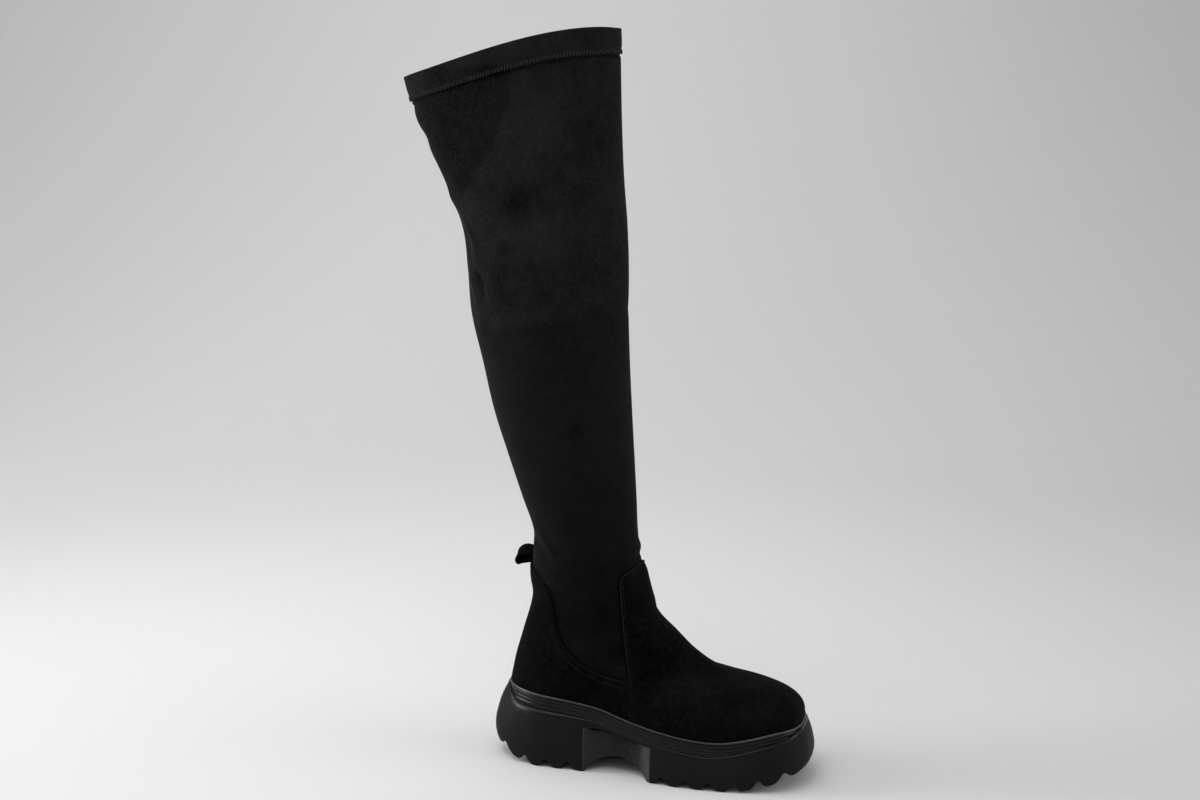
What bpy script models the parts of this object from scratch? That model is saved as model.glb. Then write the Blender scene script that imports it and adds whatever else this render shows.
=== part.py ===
"""A right over-the-knee stretch boot on a thick lugged sole, standing empty.

The boot's own frame: X runs from the heel (0 at the back of the feather line, where upper
meets sole) to the toe, -Y is the outer side of the foot, Z is up and the floor is at 0.
Sizes are in millimetres until a mesh is made. One skin function gives the shape of the last
and the leg, and every wall, band and sole outline is an offset from it.
"""
import bmesh
import bpy
import numpy as np

MM = 0.001
GAP = 0.3
SHARP_ANGLE = np.radians(35)

# Sections of last and leg from the feather line up to the collar: the front and back points of
# each section, its half width, how much of the foot's plan it keeps, how far its middle
# drops towards the ball, how blunt its front is, and how far its front leans inwards.
SECTION_COLUMNS = (
    "front_x", "front_z", "back_x", "back_z", "half_width", "plan", "drop", "front_power", "lean")
SECTIONS = (
    (258.5, 50.0, 1.5, 62.0, 42.0, 1.00, 16.5, 0.60, 2.0),
    (258.0, 57.5, 3.4, 71.0, 43.4, 1.00, 15.5, 0.62, 3.0),
    (254.0, 64.0, 5.4, 80.5, 43.2, 1.00, 13.5, 0.68, 4.0),
    (246.0, 69.5, 7.6, 90.0, 41.8, 0.92, 11.0, 0.78, 5.5),
    (232.0, 74.5, 10.2, 99.0, 39.6, 0.75, 8.5, 0.95, 7.0),
    (211.0, 78.0, 13.0, 108.0, 37.6, 0.52, 6.5, 1.08, 8.0),
    (188.0, 83.5, 15.8, 117.5, 36.0, 0.32, 5.0, 1.12, 8.0),
    (165.5, 97.5, 19.0, 127.5, 35.0, 0.18, 3.5, 1.10, 7.0),
    (147.0, 115.0, 22.0, 138.0, 34.2, 0.08, 2.0, 1.05, 5.5),
    (132.5, 129.0, 23.6, 149.0, 33.6, 0.03, 1.0, 1.00, 4.0),
    (126.0, 147.0, 21.8, 160.5, 33.2, 0.00, 0.0, 0.98, 2.5),
    (121.3, 165.0, 21.0, 172.5, 33.2, 0.00, 0.0, 0.97, 1.5),
    (117.3, 184.0, 22.0, 190.0, 33.5, 0.00, 0.0, 0.97, 0.5),
    (114.6, 205.0, 22.0, 207.0, 34.2, 0.00, 0.0, 0.97, 0.0),
    (113.0, 235.0, 12.8, 234.0, 36.8, 0.00, 0.0, 0.97, 0.0),
    (111.0, 270.0, 0.8, 270.0, 40.4, 0.00, 0.0, 0.97, 0.0),
    (108.6, 310.0, -11.8, 310.0, 44.4, 0.00, 0.0, 0.97, 0.0),
    (106.6, 352.0, -21.4, 352.0, 46.0, 0.00, 0.0, 0.98, 0.0),
    (105.4, 394.0, -31.2, 393.0, 45.4, 0.00, 0.0, 0.99, 0.0),
    (105.6, 432.0, -34.2, 430.0, 44.6, 0.00, 0.0, 1.00, 0.0),
    (104.4, 470.0, -38.6, 466.0, 43.6, 0.00, 0.0, 1.02, 0.0),
    (101.4, 512.0, -54.6, 506.0, 42.6, 0.00, 0.0, 1.04, 0.0),
    (99.6, 560.0, -76.0, 549.0, 41.6, 0.00, 0.0, 1.06, 0.0),
    (98.4, 631.5, -89.4, 590.0, 40.6, 0.00, 0.0, 1.08, 0.0),
)
BACK_POWER = 0.95
COLLAR_CROWN = 10.4
CROWN_START_LEVEL = 20.0
TOP_LEVEL = len(SECTIONS) - 1.0

# The foot's plan, heel (0) to toe (1), as shares of the half width.
PLAN_COLUMNS = ("along", "outer", "inner", "drop")
PLAN = (
    (0.00, 0.88, 0.88, 0.00),
    (0.12, 0.95, 0.95, 0.01),
    (0.25, 0.85, 0.78, 0.10),
    (0.35, 0.82, 0.67, 0.32),
    (0.45, 0.90, 0.65, 0.68),
    (0.56, 1.00, 0.80, 0.89),
    (0.66, 1.08, 0.99, 0.99),
    (0.77, 1.16, 1.19, 0.93),
    (0.86, 1.25, 1.28, 0.57),
    (0.93, 1.30, 1.28, 0.24),
    (1.00, 1.33, 1.20, 0.00),
)

# Columns round a section: evenly spread between equal steps along the feather line and equal
# steps of angle, toe first, then down the outer side to the heel and back up the inner side.
# On each side the column nearest the vamp's seam gives way to a close pair, one on each side of it.
COLUMNS = 60
SEAM_ALONG = 0.4495
SEAM_HALF_TURN = 0.004
SHAFT_COLUMN_STEP = 2
SHARE_ALONG_FEATHER = 0.5
FINE_STEPS = 2000
TANGENT_STEP = 0.004

# Walls
SHAFT_WALL = 1.2
UPPER_WALL = 1.6
VAMP_STEP = 0.7
HEM_HEIGHT_LEVELS = 0.31
HEM_STEP = 0.8
HEM_STEP_LEVELS = 0.02
LAP_SINK = 0.5
LAP_LEVELS = (11.0, 14.0)
UPPER_TOP_LEVEL = 13.0
SHAFT_BOTTOM_LEVEL = 2.0

# Side outline of the suede's edge: the counter from the back of the heel down to the foot of
# the V, and the vamp from there up to the throat. The shaft laps under both.
COUNTER_EDGE = (
    (-30.0, 169.0), (19.0, 168.4), (29.0, 164.4), (37.0, 158.0), (42.6, 148.0), (46.4, 136.0),
    (49.6, 122.0), (55.5, 109.0), (64.0, 99.5), (76.0, 91.5), (90.0, 86.5), (103.0, 84.0), (116.5, 82.0),
)
VAMP_EDGE = (
    (117.0, 82.0), (116.0, 94.0), (113.4, 112.0), (110.8, 129.0), (108.4, 143.5), (107.0, 155.5),
    (107.4, 166.0), (110.4, 173.0), (115.8, 177.8), (122.0, 181.0), (160.0, 184.0),
)
COUNTER_LAP = (-5.0, -7.0)
VAMP_LAP = (8.0, -9.0)
NO_LAP = (0.0, 0.0)
POINTS_PER_ROW = 2
CUT_TOP = 260.0
CUT_BOTTOM = 20.0
CUT_FRONT = 300.0
CUT_HALF_WIDTH = 90.0

# Sole: the band sits round a raised core, over a shoulder from which the side flares out.
CORE_OFFSET = UPPER_WALL + VAMP_STEP + GAP
SEAT_DEPTH = 0.8
BAND_LIP = 3.0
BAND_HEIGHT = 12.0
SHOULDER_OFFSET = 5.2
SHOULDER_DROP = 1.6
FLARE_START = 6.4
EDGE_INSET = 1.4
# How far the side flares past the feather line, heel to toe.
FLARE_COLUMNS = ("along", "flare")
FLARE = (
    (0.00, 16.0), (0.05, 15.0), (0.11, 12.4), (0.18, 10.4), (0.30, 9.2), (0.45, 9.0), (0.58, 11.6),
    (0.70, 12.4), (0.82, 11.8), (0.92, 11.0), (1.00, 10.6),
)
# The side's swell: how far down from the shoulder (0) to the floor edge (1), share of the flare.
SWELL = ((0.0, 0.0), (0.22, 0.45), (0.46, 0.78), (0.70, 1.0), (0.90, 1.0))
# Height of the tread line along the sole: heel bevel, flat heel, flat forefoot, toe spring.
TREAD_COLUMNS = ("x", "z")
TREAD = (
    (-18.0, 19.0), (-6.0, 11.8), (10.0, 4.4), (26.0, 0.0), (40.0, 0.0), (120.0, 0.0), (190.0, 0.0),
    (204.0, 0.0), (220.0, 1.8), (240.0, 6.0), (258.0, 12.2), (274.0, 20.0),
)
FLAT_START = 26.0
FLAT_END = 204.0

# Waist: an arch right through, as x and z of its side outline, and a recess in each side under
# a lip, as x, how deep its wall lies in the flank, and the height of the lip over it.
ARCH = (
    (77.0, -4.0), (79.0, 3.0), (86.0, 7.6), (95.0, 11.6), (106.0, 14.0), (116.0, 12.4),
    (126.0, 7.4), (134.0, 2.8), (138.5, -4.0),
)
RECESS = (
    (77.2, -2.5, 40.5), (79.5, 6.5, 40.2), (84.0, 9.6, 39.4), (95.0, 10.6, 37.8), (108.0, 10.8, 36.0),
    (120.0, 10.0, 34.2), (129.0, 7.6, 32.8), (136.0, 3.2, 31.6), (142.0, -2.5, 31.0),
)
RECESS_OUTER_WALL = 8.0
RECESS_FOOT = -6.0

# Lugs: the x of each groove across the tread, and its rounded flank as half width and height.
LUG_GROOVES = (2.0, 22.5, 42.5, 62.5, 149.0, 169.5, 190.0, 211.0, 232.0, 252.5)
GROOVE = ((6.4, -3.0), (5.3, -0.2), (4.1, 0.5), (3.2, 1.6), (2.6, 3.2), (2.3, 5.2), (1.2, 6.4))

# Band profile round the sole: offset from the feather line, height from the band's top edge.
BAND = (
    (CORE_OFFSET + GAP, -11.7), (CORE_OFFSET + GAP, -3.6), (3.6, -0.5), (3.9, 0.4), (4.5, 0.3), (4.9, -0.8),
    (4.3, -2.0), (5.0, -3.5), (4.4, -5.0), (5.1, -6.5), (4.5, -8.0), (5.2, -9.6), (5.2, -11.7),
)

INSOLE_INSET = 0.6
INSOLE_THICKNESS = 3.0

# Pull loop: the middle line of its strip in side view, from the shaft round and back.
LOOP_PATH = (
    (21.2, 186.0), (15.5, 186.2), (10.6, 184.0), (6.8, 179.5), (5.6, 174.6), (8.2, 172.2), (13.0, 172.8),
    (20.3, 172.8),
)
LOOP_WIDTH = 11.0
LOOP_THICKNESS = 1.8
LOOP_STEPS = 18

# Colours as linear RGB, then roughness
FINISHES = {
    "outsole": ((0.014, 0.013, 0.013), 0.62),
    "welt_band": ((0.020, 0.018, 0.019), 0.34),
    "insole": ((0.012, 0.012, 0.012), 0.90),
    "upper": ((0.008, 0.008, 0.008), 0.95),
    "shaft": ((0.011, 0.011, 0.011), 0.92),
    "pull_loop": ((0.008, 0.008, 0.009), 0.95),
}


def curve(stations, values, at):
    """A smooth curve through values given at rising stations, read at any places."""
    stations = np.asarray(stations, float)
    values = np.asarray(values, float)
    at = np.asarray(at, float)
    slopes = np.gradient(values, stations, axis=0)
    left = np.clip(np.searchsorted(stations, at, side="right") - 1, 0, len(stations) - 2)
    span = stations[left + 1] - stations[left]
    t = np.clip((at - stations[left]) / span, 0.0, 1.0)
    if values.ndim > 1:
        t = t[..., None]
        span = span[..., None]
    rise = values[left + 1] - values[left]
    bend_in = slopes[left] * span - rise
    bend_out = rise - slopes[left + 1] * span
    return values[left] + rise * t + t * (1 - t) * (bend_in * (1 - t) + bend_out * t)


def column(table, names, name):
    """One named column of a table."""
    return np.array([row[names.index(name)] for row in table], float)


def smooth_path(points, count):
    """Evenly numbered points on a smooth path through a few given ones."""
    steps = np.arange(len(points), dtype=float)
    return curve(steps, points, np.linspace(0, len(points) - 1, count))


def skin(level, turn):
    """The last and leg at a section level and an angle round it (0 toe, pi heel)."""
    level, turn = np.broadcast_arrays(np.asarray(level, float), np.asarray(turn, float))
    rows = curve(np.arange(len(SECTIONS)), SECTIONS, level)
    part = {name: rows[..., i] for i, name in enumerate(SECTION_COLUMNS)}
    along = (1 + np.cos(turn)) / 2
    stations = column(PLAN, PLAN_COLUMNS, "along")
    outer = curve(stations, column(PLAN, PLAN_COLUMNS, "outer"), along)
    inner = curve(stations, column(PLAN, PLAN_COLUMNS, "inner"), along)
    drop = curve(stations, column(PLAN, PLAN_COLUMNS, "drop"), along)
    side = np.sin(turn)
    share = 1 + part["plan"] * (np.where(side > 0, outer, inner) - 1)
    power = BACK_POWER + (part["front_power"] - BACK_POWER) * along
    half = part["half_width"] * share * np.abs(side) ** power
    rise = np.clip((level - CROWN_START_LEVEL) / (TOP_LEVEL - CROWN_START_LEVEL), 0, 1)
    x = part["back_x"] + along * (part["front_x"] - part["back_x"])
    y = part["lean"] * along ** 2 - np.sign(side) * half
    z = part["back_z"] + along * (part["front_z"] - part["back_z"]) - part["drop"] * drop
    z = z + COLLAR_CROWN * rise ** 2 * side ** 2 * along
    return np.stack([x, y, z], axis=-1)


def unit(vectors):
    return vectors / np.linalg.norm(vectors, axis=-1, keepdims=True)


def wall(level, turn, offset):
    """The skin moved outwards along its normal."""
    low = np.clip(level - TANGENT_STEP, 0, TOP_LEVEL)
    high = np.clip(level + TANGENT_STEP, 0, TOP_LEVEL)
    upward = skin(high, turn) - skin(low, turn)
    round_it = skin(level, turn + TANGENT_STEP) - skin(level, turn - TANGENT_STEP)
    return skin(level, turn) + offset * unit(np.cross(upward, round_it))


def column_angles():
    """Angles of the columns down the outer side, from toe to heel."""
    fine = np.linspace(0, np.pi, FINE_STEPS)
    steps = np.linalg.norm(np.diff(skin(0.0, fine), axis=0), axis=1)
    walked = np.concatenate([[0], np.cumsum(steps)])
    half = COLUMNS // 2
    even = np.linspace(0, 1, half + 1)
    by_length = np.interp(even * walked[-1], walked, fine)
    return SHARE_ALONG_FEATHER * by_length + (1 - SHARE_ALONG_FEATHER) * even * np.pi


def both_sides(outer):
    """The outer side's angles and their mirror images, so that columns pair across the foot."""
    return np.concatenate([outer, 2 * np.pi - outer[-2:0:-1]])


def with_seam(outer):
    """The outer side's angles with a close pair of columns at the vamp's seam."""
    seam = np.arccos(2 * SEAM_ALONG - 1)
    nearest = np.argmin(np.abs(outer - seam))
    return np.concatenate([
        outer[:nearest], [seam - SEAM_HALF_TURN, seam + SEAM_HALF_TURN], outer[nearest + 1:]])


SHAFT_TURNS = both_sides(column_angles()[::SHAFT_COLUMN_STEP])
TURNS = both_sides(with_seam(column_angles()))


def outline(offset):
    """The feather line moved outwards in plan, its heights kept."""
    line = skin(0.0, TURNS)
    along = skin(0.0, TURNS + TANGENT_STEP) - skin(0.0, TURNS - TANGENT_STEP)
    normal = unit(np.stack([-along[:, 1], along[:, 0]], axis=-1))
    moved = line.copy()
    moved[:, :2] += normal * np.reshape(offset, (-1, 1))
    return moved


def make_material(name):
    colour, roughness = FINISHES[name]
    material = bpy.data.materials.new(name)
    material.use_nodes = True
    shader = material.node_tree.nodes["Principled BSDF"]
    shader.inputs["Base Color"].default_value = (*colour, 1.0)
    shader.inputs["Roughness"].default_value = roughness
    shader.inputs["Metallic"].default_value = 0.0
    return material


def make_object(name, points, faces):
    """A mesh object from points in millimetres, its faces turned outwards."""
    mesh = bpy.data.meshes.new(name)
    mesh.from_pydata((np.asarray(points) * MM).tolist(), [], faces)
    work = bmesh.new()
    work.from_mesh(mesh)
    bmesh.ops.recalc_face_normals(work, faces=work.faces)
    work.to_mesh(mesh)
    work.free()
    result = bpy.data.objects.new(name, mesh)
    bpy.context.collection.objects.link(result)
    result.parent = ROOT
    if name in FINISHES:
        mesh.materials.append(make_material(name))
        mesh.shade_smooth()
        mesh.set_sharp_from_angle(angle=SHARP_ANGLE)
    else:
        result.hide_render = True
        result.display_type = "WIRE"
    return result


def ring_faces(loops, count, closed):
    """Quads between stacked loops of points, the last loop joined to the first if closed."""
    faces = []
    for i in range(loops if closed else loops - 1):
        for j in range(count):
            k = (j + 1) % count
            low = i * count
            high = (i + 1) % loops * count
            faces.append((low + j, low + k, high + k, high + j))
    return faces


def cap_faces(start, count):
    """Strips across one loop, between the columns that pair from side to side."""
    half = count // 2
    faces = [(start, start + 1, start + count - 1)]
    for j in range(1, half - 1):
        faces.append((start + j, start + j + 1, start + count - j - 1, start + count - j))
    faces.append((start + half - 1, start + half, start + half + 1))
    return faces


def prism(outline_points, half_width):
    """Points and faces of a side outline pushed through the boot from side to side."""
    count = len(outline_points)
    points = [(x, y, z) for y in (-half_width, half_width) for x, z in outline_points]
    faces = [tuple(range(count)), tuple(range(2 * count - 1, count - 1, -1))]
    faces += ring_faces(2, count, closed=False)
    return points, faces


def join_pieces(pieces):
    """Several lists of points and faces as one."""
    points, faces = [], []
    for piece_points, piece_faces in pieces:
        start = len(points)
        points += list(piece_points)
        faces += [tuple(start + index for index in face) for face in piece_faces]
    return points, faces


def cut(target, cutter):
    """Take the cutter out of the target."""
    change = target.modifiers.new(cutter.name, "BOOLEAN")
    change.operation = "DIFFERENCE"
    change.object = cutter


def hollow_wall(name, rings):
    """A tube from loops that run up its outside and back down its inside."""
    return make_object(name, np.concatenate(rings), ring_faces(len(rings), len(rings[0]), closed=True))


def suede_edge(counter_lap, vamp_lap):
    """The suede's edge in side view, counter then vamp, each moved by its lap."""
    counter = smooth_path(COUNTER_EDGE, POINTS_PER_ROW * len(COUNTER_EDGE)) + counter_lap
    vamp = smooth_path(VAMP_EDGE, POINTS_PER_ROW * len(VAMP_EDGE)) + vamp_lap
    return [tuple(point) for point in np.concatenate([counter, vamp])]


def make_upper():
    """The suede foot: a wall over the skin, cut along the edge of counter and vamp."""
    levels = np.arange(0, UPPER_TOP_LEVEL + 1)
    ahead_of_seam = np.cos(TURNS) > 2 * SEAM_ALONG - 1
    thickness = UPPER_WALL + np.where(ahead_of_seam, VAMP_STEP, 0.0)[:, None]
    rings = [wall(level, TURNS, GAP + thickness) for level in levels]
    rings += [wall(level, TURNS, GAP) for level in levels[::-1]]
    upper = hollow_wall("upper", rings)
    edge = suede_edge(NO_LAP, NO_LAP)
    edge += [(edge[-1][0], CUT_TOP), (edge[0][0], CUT_TOP)]
    cut(upper, make_object("upper_edge_cut", *prism(edge, CUT_HALF_WIDTH)))


def make_shaft():
    """The stretch leg: a thin tube with a stepped hem, its foot lapping under the suede."""
    turns = SHAFT_TURNS
    hem = TOP_LEVEL - HEM_HEIGHT_LEVELS
    plain = np.append(np.arange(SHAFT_BOTTOM_LEVEL, hem), hem)
    hem_levels = (hem + HEM_STEP_LEVELS, TOP_LEVEL)
    sink = np.interp(plain, LAP_LEVELS, (LAP_SINK, 0.0))
    rings = [wall(level, turns, -depth) for level, depth in zip(plain, sink)]
    rings += [wall(level, turns, HEM_STEP) for level in hem_levels]
    rings.append(wall(TOP_LEVEL, turns, -SHAFT_WALL))
    rings += [wall(level, turns, -depth - SHAFT_WALL) for level, depth in zip(plain[::-1], sink[::-1])]
    shaft = hollow_wall("shaft", rings)
    edge = suede_edge(COUNTER_LAP, VAMP_LAP)
    edge += [(CUT_FRONT, edge[-1][1]), (CUT_FRONT, CUT_BOTTOM), (edge[0][0], CUT_BOTTOM)]
    cut(shaft, make_object("shaft_foot_cut", *prism(edge, CUT_HALF_WIDTH)))


def tread_height(x):
    """Height of the tread line, level between the flat marks."""
    height = curve(column(TREAD, TREAD_COLUMNS, "x"), column(TREAD, TREAD_COLUMNS, "z"), x)
    return np.where((x > FLAT_START) & (x < FLAT_END), 0.0, np.maximum(height, 0.0))


def flare_offset():
    """How far each column's side stands out at its widest."""
    along = (1 + np.cos(TURNS)) / 2
    return curve(column(FLARE, FLARE_COLUMNS, "along"), column(FLARE, FLARE_COLUMNS, "flare"), along)


def sole_side_loops():
    """Loops of the sole from its seat out over the shoulder and down to the tread."""
    seat = outline(CORE_OFFSET)
    seat[:, 2] -= SEAT_DEPTH
    rebate = outline(CORE_OFFSET)
    band_foot = rebate[:, 2] + BAND_LIP - BAND_HEIGHT
    rebate[:, 2] = band_foot
    shoulder = outline(SHOULDER_OFFSET)
    shoulder[:, 2] = band_foot
    loops = [seat, rebate, shoulder]
    flare = flare_offset()
    edge = outline(flare - EDGE_INSET)
    edge[:, 2] = tread_height(edge[:, 0])
    for down, share in SWELL:
        loop = outline(FLARE_START + (flare - FLARE_START) * share)
        top = band_foot - SHOULDER_DROP
        loop[:, 2] = top + (edge[:, 2] - top) * down
        loops.append(loop)
    return loops + [edge]


def recess_piece(side, flank):
    """One side's recess: a trough under the lip, its back wall curving out at both ends."""
    sections = []
    for x, inset, top in RECESS:
        wall_y = side * (np.interp(x, flank[0], flank[1]) - inset)
        outer_y = wall_y + side * (inset + RECESS_OUTER_WALL)
        sections.append([(x, wall_y, RECESS_FOOT), (x, wall_y, top),
                         (x, outer_y, top), (x, outer_y, RECESS_FOOT)])
    points = [point for section in sections for point in section]
    last = len(points)
    faces = ring_faces(len(sections), 4, closed=False)
    return points, faces + [(3, 2, 1, 0), (last - 4, last - 3, last - 2, last - 1)]


def flanks(loop):
    """The x and half breadth of a loop on the outer and on the inner side."""
    half = len(loop) // 2
    outer = loop[half:0:-1]
    inner = loop[half + 1:]
    return (outer[:, 0], -outer[:, 1]), (inner[:, 0], inner[:, 1])


def groove_piece(place):
    """One groove between two lugs, right across the sole."""
    base = float(tread_height(np.array(place)))
    left = [(place - half, base + height) for half, height in GROOVE]
    right = [(place + half, base + height) for half, height in GROOVE[::-1]]
    return prism(left + right, CUT_HALF_WIDTH)


def make_outsole():
    """The unit sole: stacked outlines, then the arch, the recesses and the grooves taken out."""
    loops = sole_side_loops()
    count = len(TURNS)
    faces = ring_faces(len(loops), count, closed=False)
    faces += cap_faces(0, count) + cap_faces((len(loops) - 1) * count, count)
    outsole = make_object("outsole", np.concatenate(loops), faces)
    arch = [tuple(point) for point in smooth_path(ARCH, POINTS_PER_ROW * len(ARCH))]
    cut(outsole, make_object("arch_cut", *prism(arch, CUT_HALF_WIDTH)))
    outer, inner = flanks(outline(flare_offset()))
    recesses = join_pieces([recess_piece(-1, outer), recess_piece(1, inner)])
    cut(outsole, make_object("recess_cut", *recesses))
    grooves = join_pieces([groove_piece(place) for place in LUG_GROOVES])
    cut(outsole, make_object("groove_cut", *grooves))


def make_welt_band():
    """The ribbed band round the sole's core."""
    loops = []
    for offset, height in BAND:
        loop = outline(offset)
        loop[:, 2] += BAND_LIP + height
        loops.append(loop)
    make_object("welt_band", np.concatenate(loops), ring_faces(len(loops), len(TURNS), closed=True))


def make_insole():
    """The board on the seat, following its curve."""
    low = outline(-INSOLE_INSET) + (0, 0, GAP - SEAT_DEPTH)
    high = low + (0, 0, INSOLE_THICKNESS)
    count = len(low)
    faces = ring_faces(2, count, closed=False) + cap_faces(0, count) + cap_faces(count, count)
    make_object("insole", np.concatenate([low, high]), faces)


def make_pull_loop():
    """A strip bent round in side view, its two ends against the shaft."""
    path = smooth_path(LOOP_PATH, LOOP_STEPS)
    run = unit(np.gradient(path, axis=0))
    across = np.stack([-run[:, 1], run[:, 0]], axis=-1) * LOOP_THICKNESS / 2
    loops = []
    for middle, half in zip(path, across):
        corners = [(middle + sign * half, y) for sign, y in ((-1, -1), (1, -1), (1, 1), (-1, 1))]
        loops.append([(xz[0], y * LOOP_WIDTH / 2, xz[1]) for xz, y in corners])
    faces = ring_faces(LOOP_STEPS, 4, closed=False)
    last = 4 * (LOOP_STEPS - 1)
    faces += [(0, 1, 2, 3), (last + 3, last + 2, last + 1, last)]
    make_object("pull_loop", np.concatenate(loops), faces)


def centre_on_floor():
    """Move the boot so that the middle of its box stands over the origin."""
    bpy.context.view_layer.update()
    graph = bpy.context.evaluated_depsgraph_get()
    corners = []
    for name in FINISHES:
        shown = bpy.data.objects[name].evaluated_get(graph)
        corners += [shown.matrix_world @ vertex.co for vertex in shown.data.vertices]
    points = np.array(corners)
    middle = (points.min(axis=0) + points.max(axis=0)) / 2
    ROOT.location = (-middle[0], -middle[1], 0.0)


for old in list(bpy.data.objects):
    bpy.data.objects.remove(old)
ROOT = bpy.data.objects.new("boot", None)
bpy.context.collection.objects.link(ROOT)
make_outsole()
make_welt_band()
make_insole()
make_upper()
make_shaft()
make_pull_loop()
centre_on_floor()
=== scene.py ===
"""The looks of a right over-the-knee stretch boot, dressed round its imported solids.

Sizes are millimetres in the boot's own frame until a mesh is made: X runs from the heel (0 at the
back of the feather line, where upper meets sole) to the toe, -Y is the outer side, Z is up from the
floor. One skin function gives the last and the leg. Leg, suede panels, band and sole are finer
offsets from it than the solids are, with the folds, seams and stitches that the solids leave out.
"""

import bmesh
import bpy
import numpy as np
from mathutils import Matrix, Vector, kdtree


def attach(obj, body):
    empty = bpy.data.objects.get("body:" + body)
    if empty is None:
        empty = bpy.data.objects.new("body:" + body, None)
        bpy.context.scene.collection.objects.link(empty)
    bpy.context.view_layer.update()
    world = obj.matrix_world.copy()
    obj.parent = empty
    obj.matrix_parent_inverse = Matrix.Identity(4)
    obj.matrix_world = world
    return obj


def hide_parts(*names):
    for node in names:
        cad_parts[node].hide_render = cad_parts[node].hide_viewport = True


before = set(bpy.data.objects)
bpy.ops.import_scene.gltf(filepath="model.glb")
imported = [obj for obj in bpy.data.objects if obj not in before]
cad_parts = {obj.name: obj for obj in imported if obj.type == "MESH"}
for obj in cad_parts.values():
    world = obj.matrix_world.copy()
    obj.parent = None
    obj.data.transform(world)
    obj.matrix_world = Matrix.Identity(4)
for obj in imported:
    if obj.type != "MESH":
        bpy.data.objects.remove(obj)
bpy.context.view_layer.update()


def table(names, *rows):
    """A short table as named columns."""
    return dict(zip(names.split(), np.array(rows, float).T))


MM = 0.001
# From the boot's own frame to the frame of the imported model, whose origin is under the box's middle.
ROW_SHIFT = np.array((-89.47, -1.291, 0.0))
BODY = "root"
# Points closer than this are welded, and edges shorter than this are dissolved.
WELD_GAP = 0.002
SHORTEST_EDGE = 0.0005

# Sections of last and leg from the feather line up to the collar: the front and back points of
# each section, its half width, how much of the foot's plan it keeps, how far its middle
# drops towards the ball, how blunt its front is, and how far its front leans inwards.
SECTIONS = table(
    "front_x front_z back_x back_z half_width plan drop front_power lean",
    (258.5, 50.0, 1.5, 62.0, 42.0, 1.00, 16.5, 0.60, 2.0),
    (258.0, 57.5, 3.4, 71.0, 43.4, 1.00, 15.5, 0.62, 3.0),
    (254.0, 64.0, 5.4, 80.5, 43.2, 1.00, 13.5, 0.68, 4.0),
    (246.0, 69.5, 7.6, 90.0, 41.8, 0.92, 11.0, 0.78, 5.5),
    (232.0, 74.5, 10.2, 99.0, 39.6, 0.75, 8.5, 0.95, 7.0),
    (211.0, 78.0, 13.0, 108.0, 37.6, 0.52, 6.5, 1.08, 8.0),
    (188.0, 83.5, 15.8, 117.5, 36.0, 0.32, 5.0, 1.12, 8.0),
    (165.5, 97.5, 19.0, 127.5, 35.0, 0.18, 3.5, 1.10, 7.0),
    (147.0, 115.0, 22.0, 138.0, 34.2, 0.08, 2.0, 1.05, 5.5),
    (132.5, 129.0, 23.6, 149.0, 33.6, 0.03, 1.0, 1.00, 4.0),
    (126.0, 147.0, 21.8, 160.5, 33.2, 0.00, 0.0, 0.98, 2.5),
    (121.3, 165.0, 21.0, 172.5, 33.2, 0.00, 0.0, 0.97, 1.5),
    (117.3, 184.0, 22.0, 190.0, 33.5, 0.00, 0.0, 0.97, 0.5),
    (114.6, 205.0, 22.0, 207.0, 34.2, 0.00, 0.0, 0.97, 0.0),
    (113.0, 235.0, 12.8, 234.0, 36.8, 0.00, 0.0, 0.97, 0.0),
    (111.0, 270.0, 0.8, 270.0, 40.4, 0.00, 0.0, 0.97, 0.0),
    (108.6, 310.0, -11.8, 310.0, 44.4, 0.00, 0.0, 0.97, 0.0),
    (106.6, 352.0, -21.4, 352.0, 46.0, 0.00, 0.0, 0.98, 0.0),
    (105.4, 394.0, -31.2, 393.0, 45.4, 0.00, 0.0, 0.99, 0.0),
    (105.6, 432.0, -34.2, 430.0, 44.6, 0.00, 0.0, 1.00, 0.0),
    (104.4, 470.0, -38.6, 466.0, 43.6, 0.00, 0.0, 1.02, 0.0),
    (101.4, 512.0, -54.6, 506.0, 42.6, 0.00, 0.0, 1.04, 0.0),
    (99.6, 560.0, -76.0, 549.0, 41.6, 0.00, 0.0, 1.06, 0.0),
    (98.4, 631.5, -89.4, 590.0, 40.6, 0.00, 0.0, 1.08, 0.0),
)
# How blunt the back is, the rise of the collar's sides, and the step that gives tangents.
BACK_POWER = 0.95
COLLAR_CROWN = 10.4
CROWN_START_LEVEL = 20.0
TOP_LEVEL = len(SECTIONS["plan"]) - 1.0
TANGENT_STEP = 0.004

# The foot's plan, heel (0) to toe (1), as shares of the half width.
PLAN = table(
    "along outer inner drop",
    (0.00, 0.88, 0.88, 0.00),
    (0.12, 0.95, 0.95, 0.01),
    (0.25, 0.85, 0.78, 0.07),
    (0.35, 0.82, 0.67, 0.23),
    (0.45, 0.90, 0.65, 0.56),
    (0.56, 1.00, 0.80, 0.84),
    (0.66, 1.08, 0.99, 0.99),
    (0.77, 1.16, 1.19, 0.93),
    (0.86, 1.25, 1.28, 0.57),
    (0.93, 1.30, 1.28, 0.24),
    (1.00, 1.33, 1.20, 0.00),
)

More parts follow.
